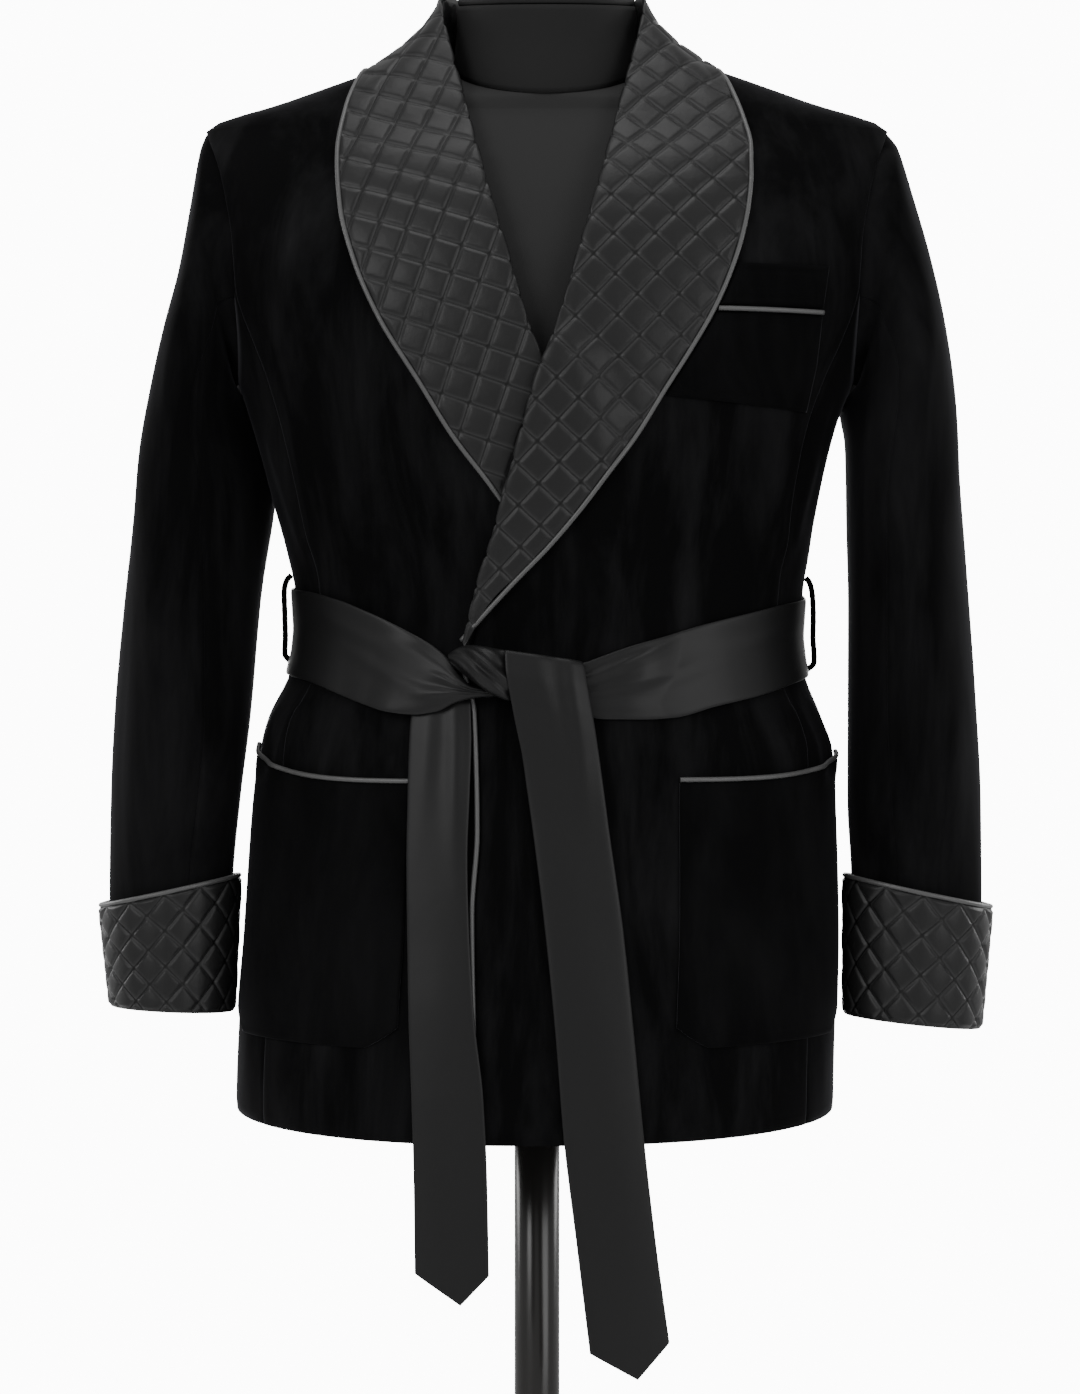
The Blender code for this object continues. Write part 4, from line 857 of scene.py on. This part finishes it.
# Down the front: roll x, z, outer x, z
COLLAR_FRONT = (
    (58, 1441, 143.7, 1383), (46, 1392, 140.6, 1346), (36.7, 1358, 131, 1310),
    (24, 1315, 115, 1273), (9, 1264, 86, 1226), (-4, 1231, 64, 1191), (-14, 1196, 41, 1163),
    (-24, 1158, 13, 1129), (-35, 1118, -14, 1100), (-44, 1087, -34, 1079), (-51.5, 1049, -51, 1046),
)
# Each side's lapel is narrower than that by its own amount, fading in over these heights
COLLAR_NARROW = {1: 4.0, -1: 6.0}
NARROW_Z = (1090, 1210)
COLLAR_THICK = 2.4
COLLAR_GAP = 1.0
# The fall stands up a little beside its roll, on the lapped side only above the crossing
ROLL_RISE = 1.8
CROSSING_Z = (1250, 1290)
PIPING_FOOT_Z = (1058, 1044)
PIPING_GAP = 1.0
QUILT_SQUARE = 20.0
QUILT_ANGLES = {1: 47, -1: 71}
QUILT_PUFF = 1.9
QUILT_SINK = 0.8
QUILT_TROUGH = 1.5
COLLAR_ROWS = 540
FALL_COLUMNS = 104


def outwards(points, side):
    """Points with x measured outwards from the middle line."""
    return np.stack([(points[..., 0] - MIRROR_X) * side, points[..., 1], points[..., 2]], axis=-1)


def outwards_back(points, side):
    """Points with x measured outwards, in the jacket's own x again."""
    return np.stack([MIRROR_X + side * points[..., 0], points[..., 1], points[..., 2]], axis=-1)


def on_front(x, z, lift, side):
    """Point of this side's front. x is outwards, and so is the x that comes back."""
    turn = turn_at(MIRROR_X + side * np.asarray(x, float), z)
    extra = lap_lift(turn, z) if side > 0 else 0.0
    return outwards(surface(turn, z, lift + extra), side)


def push_out(points, side, lift):
    """Moves points that lie under this lift from the jacket out to it. x is outwards."""
    points = outwards_back(points, side)
    below = points[..., 2] < BODY[-2][0] - 2
    for _ in range(3):
        half, centre, front, back = [smooth(points[..., 2], BODY_Z, s) for s in BODY_SIZES]
        across = (points[..., 0] - centre) / half
        along = -points[..., 1] / np.where(points[..., 1] < 0, front, back)
        power = ROUNDNESS / 2
        turn = np.degrees(np.arctan2(np.sign(across) * np.abs(across) ** power,
                                     np.sign(along) * np.abs(along) ** power))
        base = surface(turn, points[..., 2])
        normal = surface(turn, points[..., 2], 1.0) - base
        extra = lap_lift(turn, points[..., 2]) if side > 0 else 0.0
        height = np.sum((points - base) * normal, axis=-1)
        short = np.where(below, np.maximum(lift + extra - height, 0), 0)
        points = points + normal * short[..., None]
    return outwards(points, side)


def collar_stations(side):
    """Roll line, outer edge, bend and leg end, read evenly along the roll line."""
    roll, outer, bend, leg = [], [], [], []
    lay = CLOTH + COLLAR_GAP + COLLAR_THICK
    edge = COLLAR_BACK_EDGE + COLLAR_SHOULDER_EDGE[side]
    for values, (turn, outer_z) in zip(COLLAR_NECK, edge):
        x, y, z, place, height, leg_x, leg_y, leg_z = values
        roll.append((x, y, z))
        outer.append(outwards(surface(side * turn, outer_z, lay), side))
        bend.append((place, height))
        leg.append((leg_x, leg_y, leg_z))
    for roll_x, roll_z, outer_x, outer_z in COLLAR_FRONT:
        outer_x = outer_x - COLLAR_NARROW[side] * float(ease(outer_z, *NARROW_Z))
        roll.append(on_front(roll_x, roll_z, lay, side))
        outer.append(on_front(outer_x, outer_z, lay, side))
        bend.append((0.5, 0.0))
        leg.append(on_front(roll_x + 0.6, roll_z, -0.8, side))
    steps = np.linalg.norm(np.diff(np.array(roll), axis=0), axis=1)
    run = np.concatenate([[0], np.cumsum(steps)])
    at = np.linspace(0, run[-1], COLLAR_ROWS)
    return at, [smooth(at, run, np.array(v, float)) for v in (roll, outer, bend, leg)]


def blur(grid, passes, axis=0):
    """Averages each point with its neighbours along one axis. The ends stay."""
    grid = np.moveaxis(grid, axis, 0).copy()
    for _ in range(passes):
        grid[1:-1] = grid[1:-1] * 0.5 + (grid[2:] + grid[:-2]) * 0.25
    return np.moveaxis(grid, 0, axis)


def grid_normals(skin):
    """Unit normals of a point grid, and the unit way across each row."""
    along = np.gradient(skin, axis=0)
    across = np.gradient(skin, axis=1)
    return unit(np.cross(across, along)), unit(across)


def quilting(p, q):
    """Height of quilted squares, 0 on a stitched line and 1 in the middle of a square. p and q
    count squares, so each stitched line lies at a whole number of one of them."""
    height = 1.0
    for count in (p, q):
        away = np.abs(count - np.round(count)) * QUILT_SQUARE
        height = height * (1 - np.exp(-((away / QUILT_TROUGH) ** 2)))
    dome = np.abs(np.sin(math.pi * p) * np.sin(math.pi * q))
    return 0.66 * height + 0.34 * dome**0.7


def laid_flat(fall, run):
    """Flat cut of the collar: places of its points once the strip is laid flat, turned so that
    the lapel's middle has the direction that it has from the front."""
    roll = fall[:, 0]
    ahead = unit(np.gradient(blur(roll, 30), axis=0))
    third = fall.shape[1] // 3
    across = unit(fall[:, third] - roll)
    normal = unit(np.cross(ahead, across))
    if normal[len(roll) // 2, 1] > 0:
        normal = -normal
    bend = np.cross(ahead[:-1], ahead[1:])
    turned = np.concatenate([[0], np.cumsum(np.sum(bend * normal[1:], axis=-1))])
    sideways = np.arctan2(
        np.sum(np.cross(ahead, across) * normal, axis=-1), np.sum(ahead * across, axis=-1)
    )
    middle = int(len(roll) * 0.62)
    seen = math.atan2(ahead[middle, 2], ahead[middle, 0])
    heading = turned - turned[middle] + seen
    step = np.linalg.norm(np.diff(roll, axis=0), axis=1)[:, None]
    way = np.stack([np.cos(heading), np.sin(heading)], axis=-1)
    path = np.concatenate([[[0, 0]], np.cumsum((way[1:] + way[:-1]) / 2 * step, axis=0)])
    cross = np.stack([np.cos(heading + sideways), np.sin(heading + sideways)], axis=-1)
    cross = blur(cross, 30)
    return path[:, None] + cross[:, None] * run[..., None]


def surface_piece(name, grid, look, facing, puff):
    """One layer through a point grid, its faces turned so that most look along facing."""
    faces = quads(*grid.shape[:2])
    normal = np.cross(np.gradient(grid, axis=1), np.gradient(grid, axis=0))
    if (normal @ np.array(facing, float)).sum() < 0:
        faces = faces[:, ::-1]
    return make_mesh(name, grid, faces, look, puff)


def build_collar(side, hand):
    """One half of the collar and its piping. Each row is a curve with one bend from the roll line
    to the outer edge, held off the fronts, with the leg inside and the quilting raised on it."""
    at, (roll, outer, bend, leg) = collar_stations(side)
    share = np.linspace(0, 1, 48)[None, :, None]
    away = unit(roll - np.stack([0 * at, 0 * at + NECK_CENTRE[1], roll[:, 2]], axis=-1))
    middle = roll + (outer - roll) * bend[:, :1] + away * bend[:, 1:]
    curve = (1 - share) ** 2 * roll[:, None] + share**2 * outer[:, None]
    curve = curve + 2 * share * (1 - share) * middle[:, None]
    length = np.linalg.norm(curve - curve[:, :1], axis=-1)
    rise = ROLL_RISE * (1 - np.exp(-length / 3)) * np.exp(-length / 18)
    if side < 0:
        rise = rise * ease(curve[..., 2], *CROSSING_Z)
    curve = push_out(curve, side, CLOTH + COLLAR_GAP + COLLAR_THICK + rise)
    curve = blur(curve, 6)
    run = np.linalg.norm(np.diff(curve, axis=1), axis=-1)
    run = np.concatenate([np.zeros((len(run), 1)), np.cumsum(run, axis=1)], axis=1)
    even = np.linspace(0, 1, FALL_COLUMNS)
    fall = np.empty((len(at), FALL_COLUMNS, 3))
    for i in range(len(at)):
        for k in range(3):
            fall[i, :, k] = np.interp(even * run[i, -1], run[i], curve[i, :, k])
    leg_share = np.array([0, 0.2, 0.4, 0.6, 0.78, 0.92])[None, :, None]
    legs = leg[:, None] * (1 - leg_share) + fall[:, :1] * leg_share
    skin = np.concatenate([legs, fall], axis=1)
    near_roll = slice(2, 14)
    skin[:, near_roll] = blur(skin[:, near_roll], 3, axis=1)
    normal, across = grid_normals(skin)
    if normal[len(skin) // 2, 20, 1] > 0:
        normal = -normal
    leg_run = np.linalg.norm(legs - fall[:, :1], axis=-1)
    t = np.concatenate([-leg_run, even * run[:, -1:]], axis=1)
    flat = laid_flat(outwards_back(fall, side), t)
    turn = math.radians(QUILT_ANGLES[side])
    p = (flat[..., 0] * math.cos(turn) + flat[..., 1] * math.sin(turn)) / QUILT_SQUARE
    q = (flat[..., 1] * math.cos(turn) - flat[..., 0] * math.sin(turn)) / QUILT_SQUARE
    hill = quilting(p, q)
    to_edge = run[:, -1:] - t
    puff = (hill * QUILT_PUFF - QUILT_SINK) * ease(to_edge, -1, 4)
    shown = skin + normal * puff[..., None]
    edge = skin[:, -1:]
    down, out = -normal[:, -1:], across[:, -1:]
    rim = [edge + out * o + down * d for o, d in ((0.5, 0.6), (0.5, 1.6), (-0.6, 2.3), (-6, 2.4))]
    hidden = [legs[:, :1] - normal[:, :1] * d for d in (2.2, 1.2)]
    grid = outwards_back(np.concatenate([*hidden, shown, *rim], axis=1), side)
    share = np.pad(hill, ((0, 0), (len(hidden), len(rim))), constant_values=1.0)
    piece = surface_piece("satin_collar_" + hand, grid, QUILT_LOOK, (0, -1, 0), share)
    dress(piece, "collar_" + hand)
    line = skin[:, -1] + across[:, -1] * (PIPING_RADIUS + PIPING_GAP - 0.7) - normal[:, -1] * 0.6
    line = push_out(line, side, CLOTH + PIPING_RADIUS + 0.3)
    line = outwards_back(blur(line, 12), side)
    if side > 0:
        z = np.linspace(*PIPING_FOOT_Z, 5)
        turn = turn_at(edge_x(z) - PIPING_RADIUS + 0.2, z)
        foot = surface(turn, z, CLOTH + PIPING_RADIUS - 0.2 + lap_lift(turn, z))
        line = np.concatenate([line[:-24:9], foot])
    cord = tube("piping_collar_" + hand, along_path(line[::3], 300), PIPING_RADIUS, PIPING_LOOK)
    dress(cord, "collar_piping_" + hand)
    return outwards_back(skin[:, -1], side)


# Its colour carries painted shade on the stitched lines and a painted highlight beside them
QUILT_LOOK = satin("quilted_satin", (0.0062, 0.0062, 0.0063), 0.45, 0.17, 0.5, 70, painted_line_shade=True)
rim_left = build_collar(1, "left")
build_collar(-1, "right")


# Front edge piping
# Satin folded over a thin cord and caught in the seam of the facing. It runs on from the
# collar's point down the edge of the lapping front to the hem.

COLLAR_POINT_Z = 1046
z = np.linspace(COLLAR_POINT_Z, HEM_Z - HEM_DIP + 1, 60)
turn = turn_at(edge_x(z) - PIPING_RADIUS + 0.2, z)
line = surface(turn, z, CLOTH + PIPING_RADIUS - 0.2 + lap_lift(turn, z))
piece = tube("piping_front", along_path(line, 160), PIPING_RADIUS, PIPING_LOOK)
dress(piece, "front_piping")


# Breast pocket
# A velvet patch with a folded velvet band over its mouth and satin piping between. It is sewn
# to the left front and ends at the collar's edge.

BREAST_TOP = 1307
BREAST_BAND_FOOT = 1279
BREAST_BAG_TOP = 1273
BREAST_FOOT = (1217, 1209)
BREAST_EDGE = ((1200, 180), (1209, 182), (1241, 189), (1277, 193), (1310, 198))
BREAST_GAP = 4.0

front_rim = rim_left[rim_left[:, 1] < -20][::-1]


def breast_x(z, share):
    """x at this height between the collar's edge and the pocket's outer edge."""
    edge_z, far_x = np.array(BREAST_EDGE, float).T
    near = np.interp(z, front_rim[:, 2], front_rim[:, 0]) + BREAST_GAP
    return near + (np.interp(z, edge_z, far_x) - near) * share


for name, node, top, foot, rows in (
    ("velvet_breast_band", "breast_pocket_band", BREAST_TOP, (BREAST_BAND_FOOT,) * 2, 20),
    ("velvet_breast_pocket", "breast_pocket", BREAST_BAG_TOP, BREAST_FOOT, 34),
):
    share, down = np.meshgrid(close_up(42, (0, 0.012, 0.026)), close_up(rows, (0, 0.015, 0.035)))
    z = top + (foot[0] + (foot[1] - foot[0]) * share - top) * down
    patch_piece(name, turn_at(breast_x(z, share), z), z, CLOTH + LAY_GAP + 0 * z, POCKET_THICK,
                VELVET_POCKET, node)
z = (BREAST_BAND_FOOT + BREAST_BAG_TOP) / 2
x = breast_x(z, np.linspace(0, 1, 30))
line = surface(turn_at(x, z), z + 0 * x, CLOTH + LAY_GAP + PIPING_RADIUS)
piece = tube("piping_breast_pocket", along_path(line, 50), PIPING_RADIUS, PIPING_LOOK)
dress(piece, "breast_pocket_piping")


# Turned-back cuffs
# Deep cuffs of satin quilted in upright diamonds, with piping round the upper edge. They are
# plain inside and open at both ends.

CUFF_LEFT = ((315.8, 867, 213.4, 889, 51.5, -22, 0), (308, 785, 213.2, 795, 49.5, -24, 0))
CUFF_RIGHT = ((303.5, 868, 206.5, 889, 51.5, -22, 0), (296, 801, 210.5, 797, 49.5, -24, 0))
CUFF_THICK = 3.0
CUFF_DIAMONDS_ROUND = 12
CUFF_DIAMOND_ROWS = 3.25
CUFF_PUFF = 2.2
CUFF_SINK = 0.4


def build_cuff(table, side, hand):
    """One cuff and its piping. Rings between two sleeve sections carry the quilting outside, turn
    over at the foot, run up plain inside and close at the rim."""
    angle = np.arange(340) * 360 / 340
    share = np.linspace(0, 1, 104)
    top, foot = np.array(table[0], float), np.array(table[1], float)
    rows = [top + (foot - top) * s for s in share]
    outer = np.array([sleeve_section(row, angle, 0.0, side) for row in rows])
    normal = unit(outer - outer.mean(axis=1, keepdims=True))
    i = angle[None, :] / 360 * CUFF_DIAMONDS_ROUND
    j = share[:, None] * CUFF_DIAMOND_ROWS
    hill = quilting(i + j, i - j)
    puff = hill * CUFF_PUFF - CUFF_SINK
    puff = puff * ease(share, 0, 0.03)[:, None] * (1 - ease(share, 0.97, 1))[:, None]
    outer = outer + normal * puff[..., None]
    inner = [sleeve_section(top + (foot - top) * s, angle, CUFF_THICK, side)
             for s in (0.995, 0.8, 0.5, 0.2, 0.005)]
    ends = [sleeve_section(foot, angle, d, side) for d in (0.4, 1.5, 2.6)]
    for k, ring in enumerate(ends):
        ring[:, 2] -= (0.6, 1.0, 0.6)[k]
    rim = [sleeve_section(top, angle, d, side) for d in (2.2, 0.8)]
    grid = np.concatenate([outer, ends, inner, rim, outer[:1]])
    faces = quads(len(grid), len(angle), True)
    a, b, c = grid[40, 0], grid[40, 1], grid[41, 0]
    if np.dot(np.cross(b - a, c - a), normal[40, 0]) < 0:
        faces = faces[:, ::-1]
    plain = np.ones((len(ends) + len(inner) + len(rim), len(angle)))
    shares = np.concatenate([hill, plain, hill[:1]])
    piece = make_mesh("satin_cuff_" + hand, grid, faces, QUILT_LOOK, shares)
    dress(piece, "cuff_" + hand)
    line = sleeve_section(top, np.arange(120) * 3.0, 0.6, side)
    line[:, 2] += PIPING_RADIUS - 0.2
    cord = tube("piping_cuff_" + hand, line, PIPING_RADIUS, PIPING_LOOK)
    dress(cord, "cuff_piping_" + hand)


build_cuff(CUFF_LEFT, 1, "left")
build_cuff(CUFF_RIGHT, -1, "right")


# Belt
# A wide belt of plain satin, folded double, that passes through the side loops and is tied in
# front in a half knot. Tension folds run into the knot, and both ends hang with pointed tips.

# Belt stations: turn and height of the top edge, turn and height of the bottom edge, then how
# far the top, the middle and the bottom rise off the jacket.
BELT_STATIONS = (
    (-3, 1030, -3, 1008, 0, 0, 0), (4.4, 1034.2, 4, 1001, 0, 0, 0),
    (10.4, 1041.6, 10, 998, 0, 0.5, 0), (14.8, 1046.9, 16, 997.9, 0, 0.8, 0),
    (22.4, 1054.3, 23.3, 999.2, 0, 0.8, 0), (33.7, 1063.4, 34, 1006.6, 0, 0.5, 0),
    (44.5, 1069.7, 50, 1014.6, 0, 0, 0), (63.4, 1078, 68, 1023, 0, 0, 0),
    (90, 1084, 90, 1029, 0, 0, 0), (120, 1094, 120, 1036, 0, 0, 0),
    (180, 1097, 180, 1039, 0, 0, 0), (240, 1095, 240, 1037, 0, 0, 0),
    (270, 1090.5, 270, 1030.5, 0, 0, 0), (294, 1087, 298, 1023.8, 0.5, 0, 0),
    (308.7, 1081, 313.7, 1014.7, 2, 1, 0), (320.6, 1071.4, 323.2, 1007.3, 4.5, 3.5, 3),
    (331.3, 1058.4, 331, 1001.5, 6.5, 8.5, 8), (338.2, 1046.3, 337, 999.9, 8, 12.5, 9),
    (341.5, 1038.2, 341.5, 1001.8, 9.5, 14.5, 9.5), (344.9, 1025.4, 345.1, 1007.3, 12, 15.5, 11),
    (348, 1018, 348.6, 1010.5, 12, 14, 11), (352, 1016, 352, 1012, 7, 8, 6),
)
BELT_THICK = 2.4
BELT_GAP = 0.8
# Turn from which the belt lies on the lapping front, and where it is fully up on it
BELT_UP = (-19, -14)
# Belt folds: turn, place across from -1 to 1, lean across per 10 degrees, width, length, height
BELT_FOLDS = (
    (12, 0.52, 0.25, 0.11, 9, 1.7), (12, 0.22, 0.2, 0.1, 9, -1.0), (15, -0.05, 0.09, 0.14, 12, 1.3),
    (6, 0.6, 0.3, 0.08, 4, -1.6), (12, -0.6, -0.05, 0.16, 10, 0.9), (30, -0.3, 0.02, 0.2, 16, 0.6),
    (338, 0.55, 0.02, 0.2, 11, 1.2), (344, 0.15, -0.1, 0.12, 6, 1.5),
    (343, -0.4, 0.12, 0.13, 7, 1.3), (341, -0.12, 0.02, 0.1, 6, -0.9),
    (326, -0.2, -0.12, 0.16, 12, 1.0), (316, 0.4, -0.1, 0.2, 14, 0.8),
    (150, 0.2, 0.02, 0.2, 30, 0.9), (205, -0.3, -0.03, 0.2, 32, 1.0), (245, 0.35, 0.03, 0.2, 24, 0.8),
    (110, -0.2, 0.04, 0.2, 20, 0.9), (58, 0.3, 0.05, 0.2, 24, 0.6), (285, -0.2, 0.03, 0.2, 16, 0.7),
)
BELT_LOOK = satin("belt_satin", (0.0042, 0.0042, 0.0043), 0.44, 0.15, 0.3, 28)


def belt_fold(turn, across):
    """Height of the belt's folds at this turn and share across."""
    total = np.zeros(np.broadcast(turn, across).shape)
    for place, middle, lean, width, length, height in BELT_FOLDS:
        off = across - middle - lean * (turn - place) / 10
        total += height * np.exp(-((off / width) ** 2)) * np.exp(-(((turn - place) / length) ** 2))
    return total


def rounded_strip(across, thick):
    """Half thickness at this place across: thick in the middle and 0 at both edges."""
    return thick * np.sqrt(np.clip(1 - np.abs(across) ** 14, 0, 1))


table = np.array(BELT_STATIONS, float)
place = (table[:, 0] + table[:, 2]) / 2
turn = np.concatenate([np.linspace(-3, 40, 90), np.linspace(42, 300, 150),
                       np.linspace(301.5, place[-1], 110)])
top_turn, top_z, low_turn, low_z, top_rise, middle_rise, low_rise = smooth(turn, place, table).T[
    :, :, None
]
across = np.sin(np.linspace(-math.pi / 2, math.pi / 2, 44))[None, :]
share = (across + 1) / 2
fold = belt_fold(turn[:, None], across)
turn = low_turn + (top_turn - low_turn) * share
z = low_z + (top_z - low_z) * share
rise = middle_rise + (top_rise - low_rise) / 2 * across
rise = rise + ((top_rise + low_rise) / 2 - middle_rise) * across**2
signed = (turn + 180) % 360 - 180
lap = lap_lift(np.clip(signed, -30, 90), z) * ease(signed, *BELT_UP)
thick = BELT_THICK / 2
middle = CLOTH + BELT_GAP + np.maximum(lap, rise) + thick
outer = surface(turn, z, middle + rounded_strip(across, thick) + fold)
inner = surface(turn, z, middle - rounded_strip(across, thick) + np.maximum(fold, -0.5) * 0.8)
piece = shell("satin_belt", outer, inner, BELT_LOOK)
dress(piece, "belt_band")

# Knot sections: x, z, half height, half thickness, lift of its middle
KNOT = (
    (-57, 1037.5, 3, 1, 13), (-52, 1037, 7, 3.5, 14.5), (-45, 1035, 11.5, 6, 16.5),
    (-37, 1031.5, 15, 8.5, 18.5), (-28, 1028, 17, 9.5, 18.5), (-20, 1026, 17.5, 7.5, 17.5),
    (-13, 1026, 15, 3.5, 13.5), (-6, 1026, 10, 1.5, 12.5),
)
KNOT_FOLDS = 2.4
knot = np.array(KNOT, float)
place = np.linspace(0, len(knot) - 1, 110)
x, z, tall, thick, lift = smooth(place, np.arange(len(knot)), knot).T[:, :, None]
angle = np.arange(140)[None, :] * 2 * math.pi / 140
rise = np.cos(angle)
shown = np.clip(np.sin(angle), 0, 1)
slant = rise * 1.5 + place[:, None] * 0.55
ripple = np.sin(slant * 3.1) * 0.6 + np.sin(slant * 5.6 + 1.1) * 0.4
grow = ease(place, 0.4, 3.0)[:, None] * (1 - ease(place, 5.2, 6.4))[:, None]
out = thick * np.sin(angle) + KNOT_FOLDS * ripple * shown * (0.2 + 0.8 * grow)
row_z = z + tall * rise
turn = turn_at(x - 0.1 * tall * rise, row_z)
rings = surface(turn, row_z, lift + out)
piece = closed_rings("satin_knot", rings, BELT_LOOK)
dress(piece, "belt_knot")

# Tails: left x and z, right x and z, lift of the underside at the left and at the right
TAIL_ON_RIGHT_FRONT = (
    (-79, 1012, -44, 1013, 5, 5), (-82, 1006, -43.5, 1007, 6.6, 6.6),
    (-84, 985, -43, 985, 6.6, 6.6), (-85, 950, -44, 950, 6.6, 6.6),
    (-85.6, 905, -45.5, 905, 6.8, 6.8), (-85, 860, -44.5, 860, 7, 7), (-84, 800, -41, 800, 7, 7),
    (-82, 745, -35, 745, 7, 7), (-80.5, 690, -32.5, 690, 7, 7), (-79.8, 629, -31.4, 628, 7, 7),
)
TAIL_ON_RIGHT_TIP = (-50, 608)
TAIL_ON_LEFT_FRONT = (
    (-17, 1037, 26, 1031, 18, 12.5), (-19, 1041.5, 27, 1035, 21, 13.5),
    (-19.8, 1042, 29, 1035.5, 24, 15.5), (-19.9, 1038, 31, 1032, 26, 17.5),
    (-19.5, 1028, 32.5, 1022, 26, 18), (-16.7, 1009, 35.5, 1005, 22, 16),
    (-13.5, 992, 38.5, 989, 17, 13.5), (-10, 975, 41, 973, 13, 11), (-6.5, 950, 44.5, 948, 9.5, 8.8),
    (-3, 925, 48, 922, 7.5, 7.3), (5, 860, 57, 857, 6.3, 6.3), (12, 790, 64, 786, 6.2, 6.2),
    (17.5, 720, 70.5, 716, 6.2, 6.2), (26, 649, 78.5, 645, 6.2, 6.2),
    (34.8, 576, 86.9, 582.5, 6.2, 6.2),
)
TAIL_ON_LEFT_TIP = (66, 558)
HANG_FROM = 745


def build_tail(name, node, rows, tip, folds):
    """Hanging belt end: a flat double strip with a pointed tip, rounded edges, and folds that
    fade as it hangs. Below the hem it hangs straight down."""
    across = np.sin(np.linspace(-math.pi / 2, math.pi / 2, 27))
    share = (across + 1) / 2
    table = np.array(rows, float)
    steps = np.linalg.norm(np.diff(table[:, [0, 1, 4]], axis=0), axis=1)
    run = np.concatenate([[0], np.cumsum(steps)])
    at = np.concatenate([np.linspace(0, 60, 60), np.linspace(61, run[-1], 130)])
    left_x, left_z, right_x, right_z, left_lift, right_lift = smooth(at, run, table).T[:, :, None]
    x = left_x + (right_x - left_x) * share
    z = left_z + (right_z - left_z) * share
    lift = left_lift + (right_lift - left_lift) * share
    pointed = 1 - np.abs(share - 0.5) * 2
    steps = np.linspace(0, 1, 12)[1:, None]
    tip_x = x[-1] + pointed * (tip[0] - right_x[-1] * 0.5 - left_x[-1] * 0.5) * steps
    tip_z = z[-1] + pointed * (tip[1] - z[-1].mean()) * steps
    x, z = np.vstack([x, tip_x]), np.vstack([z, tip_z])
    lift = np.vstack([lift, np.repeat(lift[-1:], len(steps), axis=0)])
    down = table[:, 1].max() - z
    for place, start, length, width, height, lean in folds:
        off = share[None, :] - place - lean * (down - start) / 100
        lift = lift + height * np.exp(-((off / width) ** 2)) * np.exp(
            -(((down - start) / length) ** 2)
        )
    fixed = np.maximum(z, HANG_FROM)
    turn = turn_at(x, fixed)
    half = BELT_THICK / 2
    grids = []
    for sign in (1, -1):
        grid = surface(turn, fixed, lift + half + sign * rounded_strip(across[None, :], half))
        grid[..., 2] = np.where(z < HANG_FROM, z, grid[..., 2])
        grids.append(grid)
    piece = shell(name, grids[0], grids[1], BELT_LOOK)
    dress(piece, node)


build_tail("satin_tail_right", "belt_tail_right", TAIL_ON_RIGHT_FRONT, TAIL_ON_RIGHT_TIP, (
    (0.75, 40, 60, 0.14, 2.2, 0.05), (0.3, 30, 45, 0.16, 1.4, -0.1), (0.5, 200, 90, 0.4, 1.0, 0),
    (0.2, 330, 80, 0.25, 0.9, 0.05),
))
build_tail("satin_tail_left", "belt_tail_left", TAIL_ON_LEFT_FRONT, TAIL_ON_LEFT_TIP, (
    (0.8, 40, 50, 0.12, 2.6, -0.1), (0.45, 30, 40, 0.14, 1.5, 0.15), (0.3, 160, 90, 0.35, 1.0, 0),
    (0.7, 330, 100, 0.3, 1.1, 0.04),
))


# Belt loops
# Thin loops of satin over cord, with their ends caught in the side seams. The belt passes
# through them, and they stand a little off it.

# Loop paths by side: height and lift off the jacket, from the upper end down
LOOP_PATHS = {
    1: ((1098, 2.4), (1095, 5.5), (1086, 8.6), (1066, 11.0), (1049, 11.2), (1036, 9.6), (1032, 3.4)),
    -1: ((1100, 2.4), (1097, 6.5), (1088, 9.4), (1068, 10.3), (1052, 9.9), (1042, 8.4), (1038, 3.4)),
}
LOOP_RADIUS = 2.0
for side, hand in ((1, "left"), (-1, "right")):
    z, lift = smooth(np.linspace(0, 6, 60), np.arange(7), np.array(LOOP_PATHS[side], float)).T
    path = surface(90.0 * side + 0 * z, z, lift)
    twist = LOOP_RADIUS * (1 + 0.05 * np.sin(np.arange(60) * 2.0))
    piece = tube("belt_loop_cord_" + hand, path, twist, LOOP_LOOK)
    dress(piece, "belt_loop_" + hand)
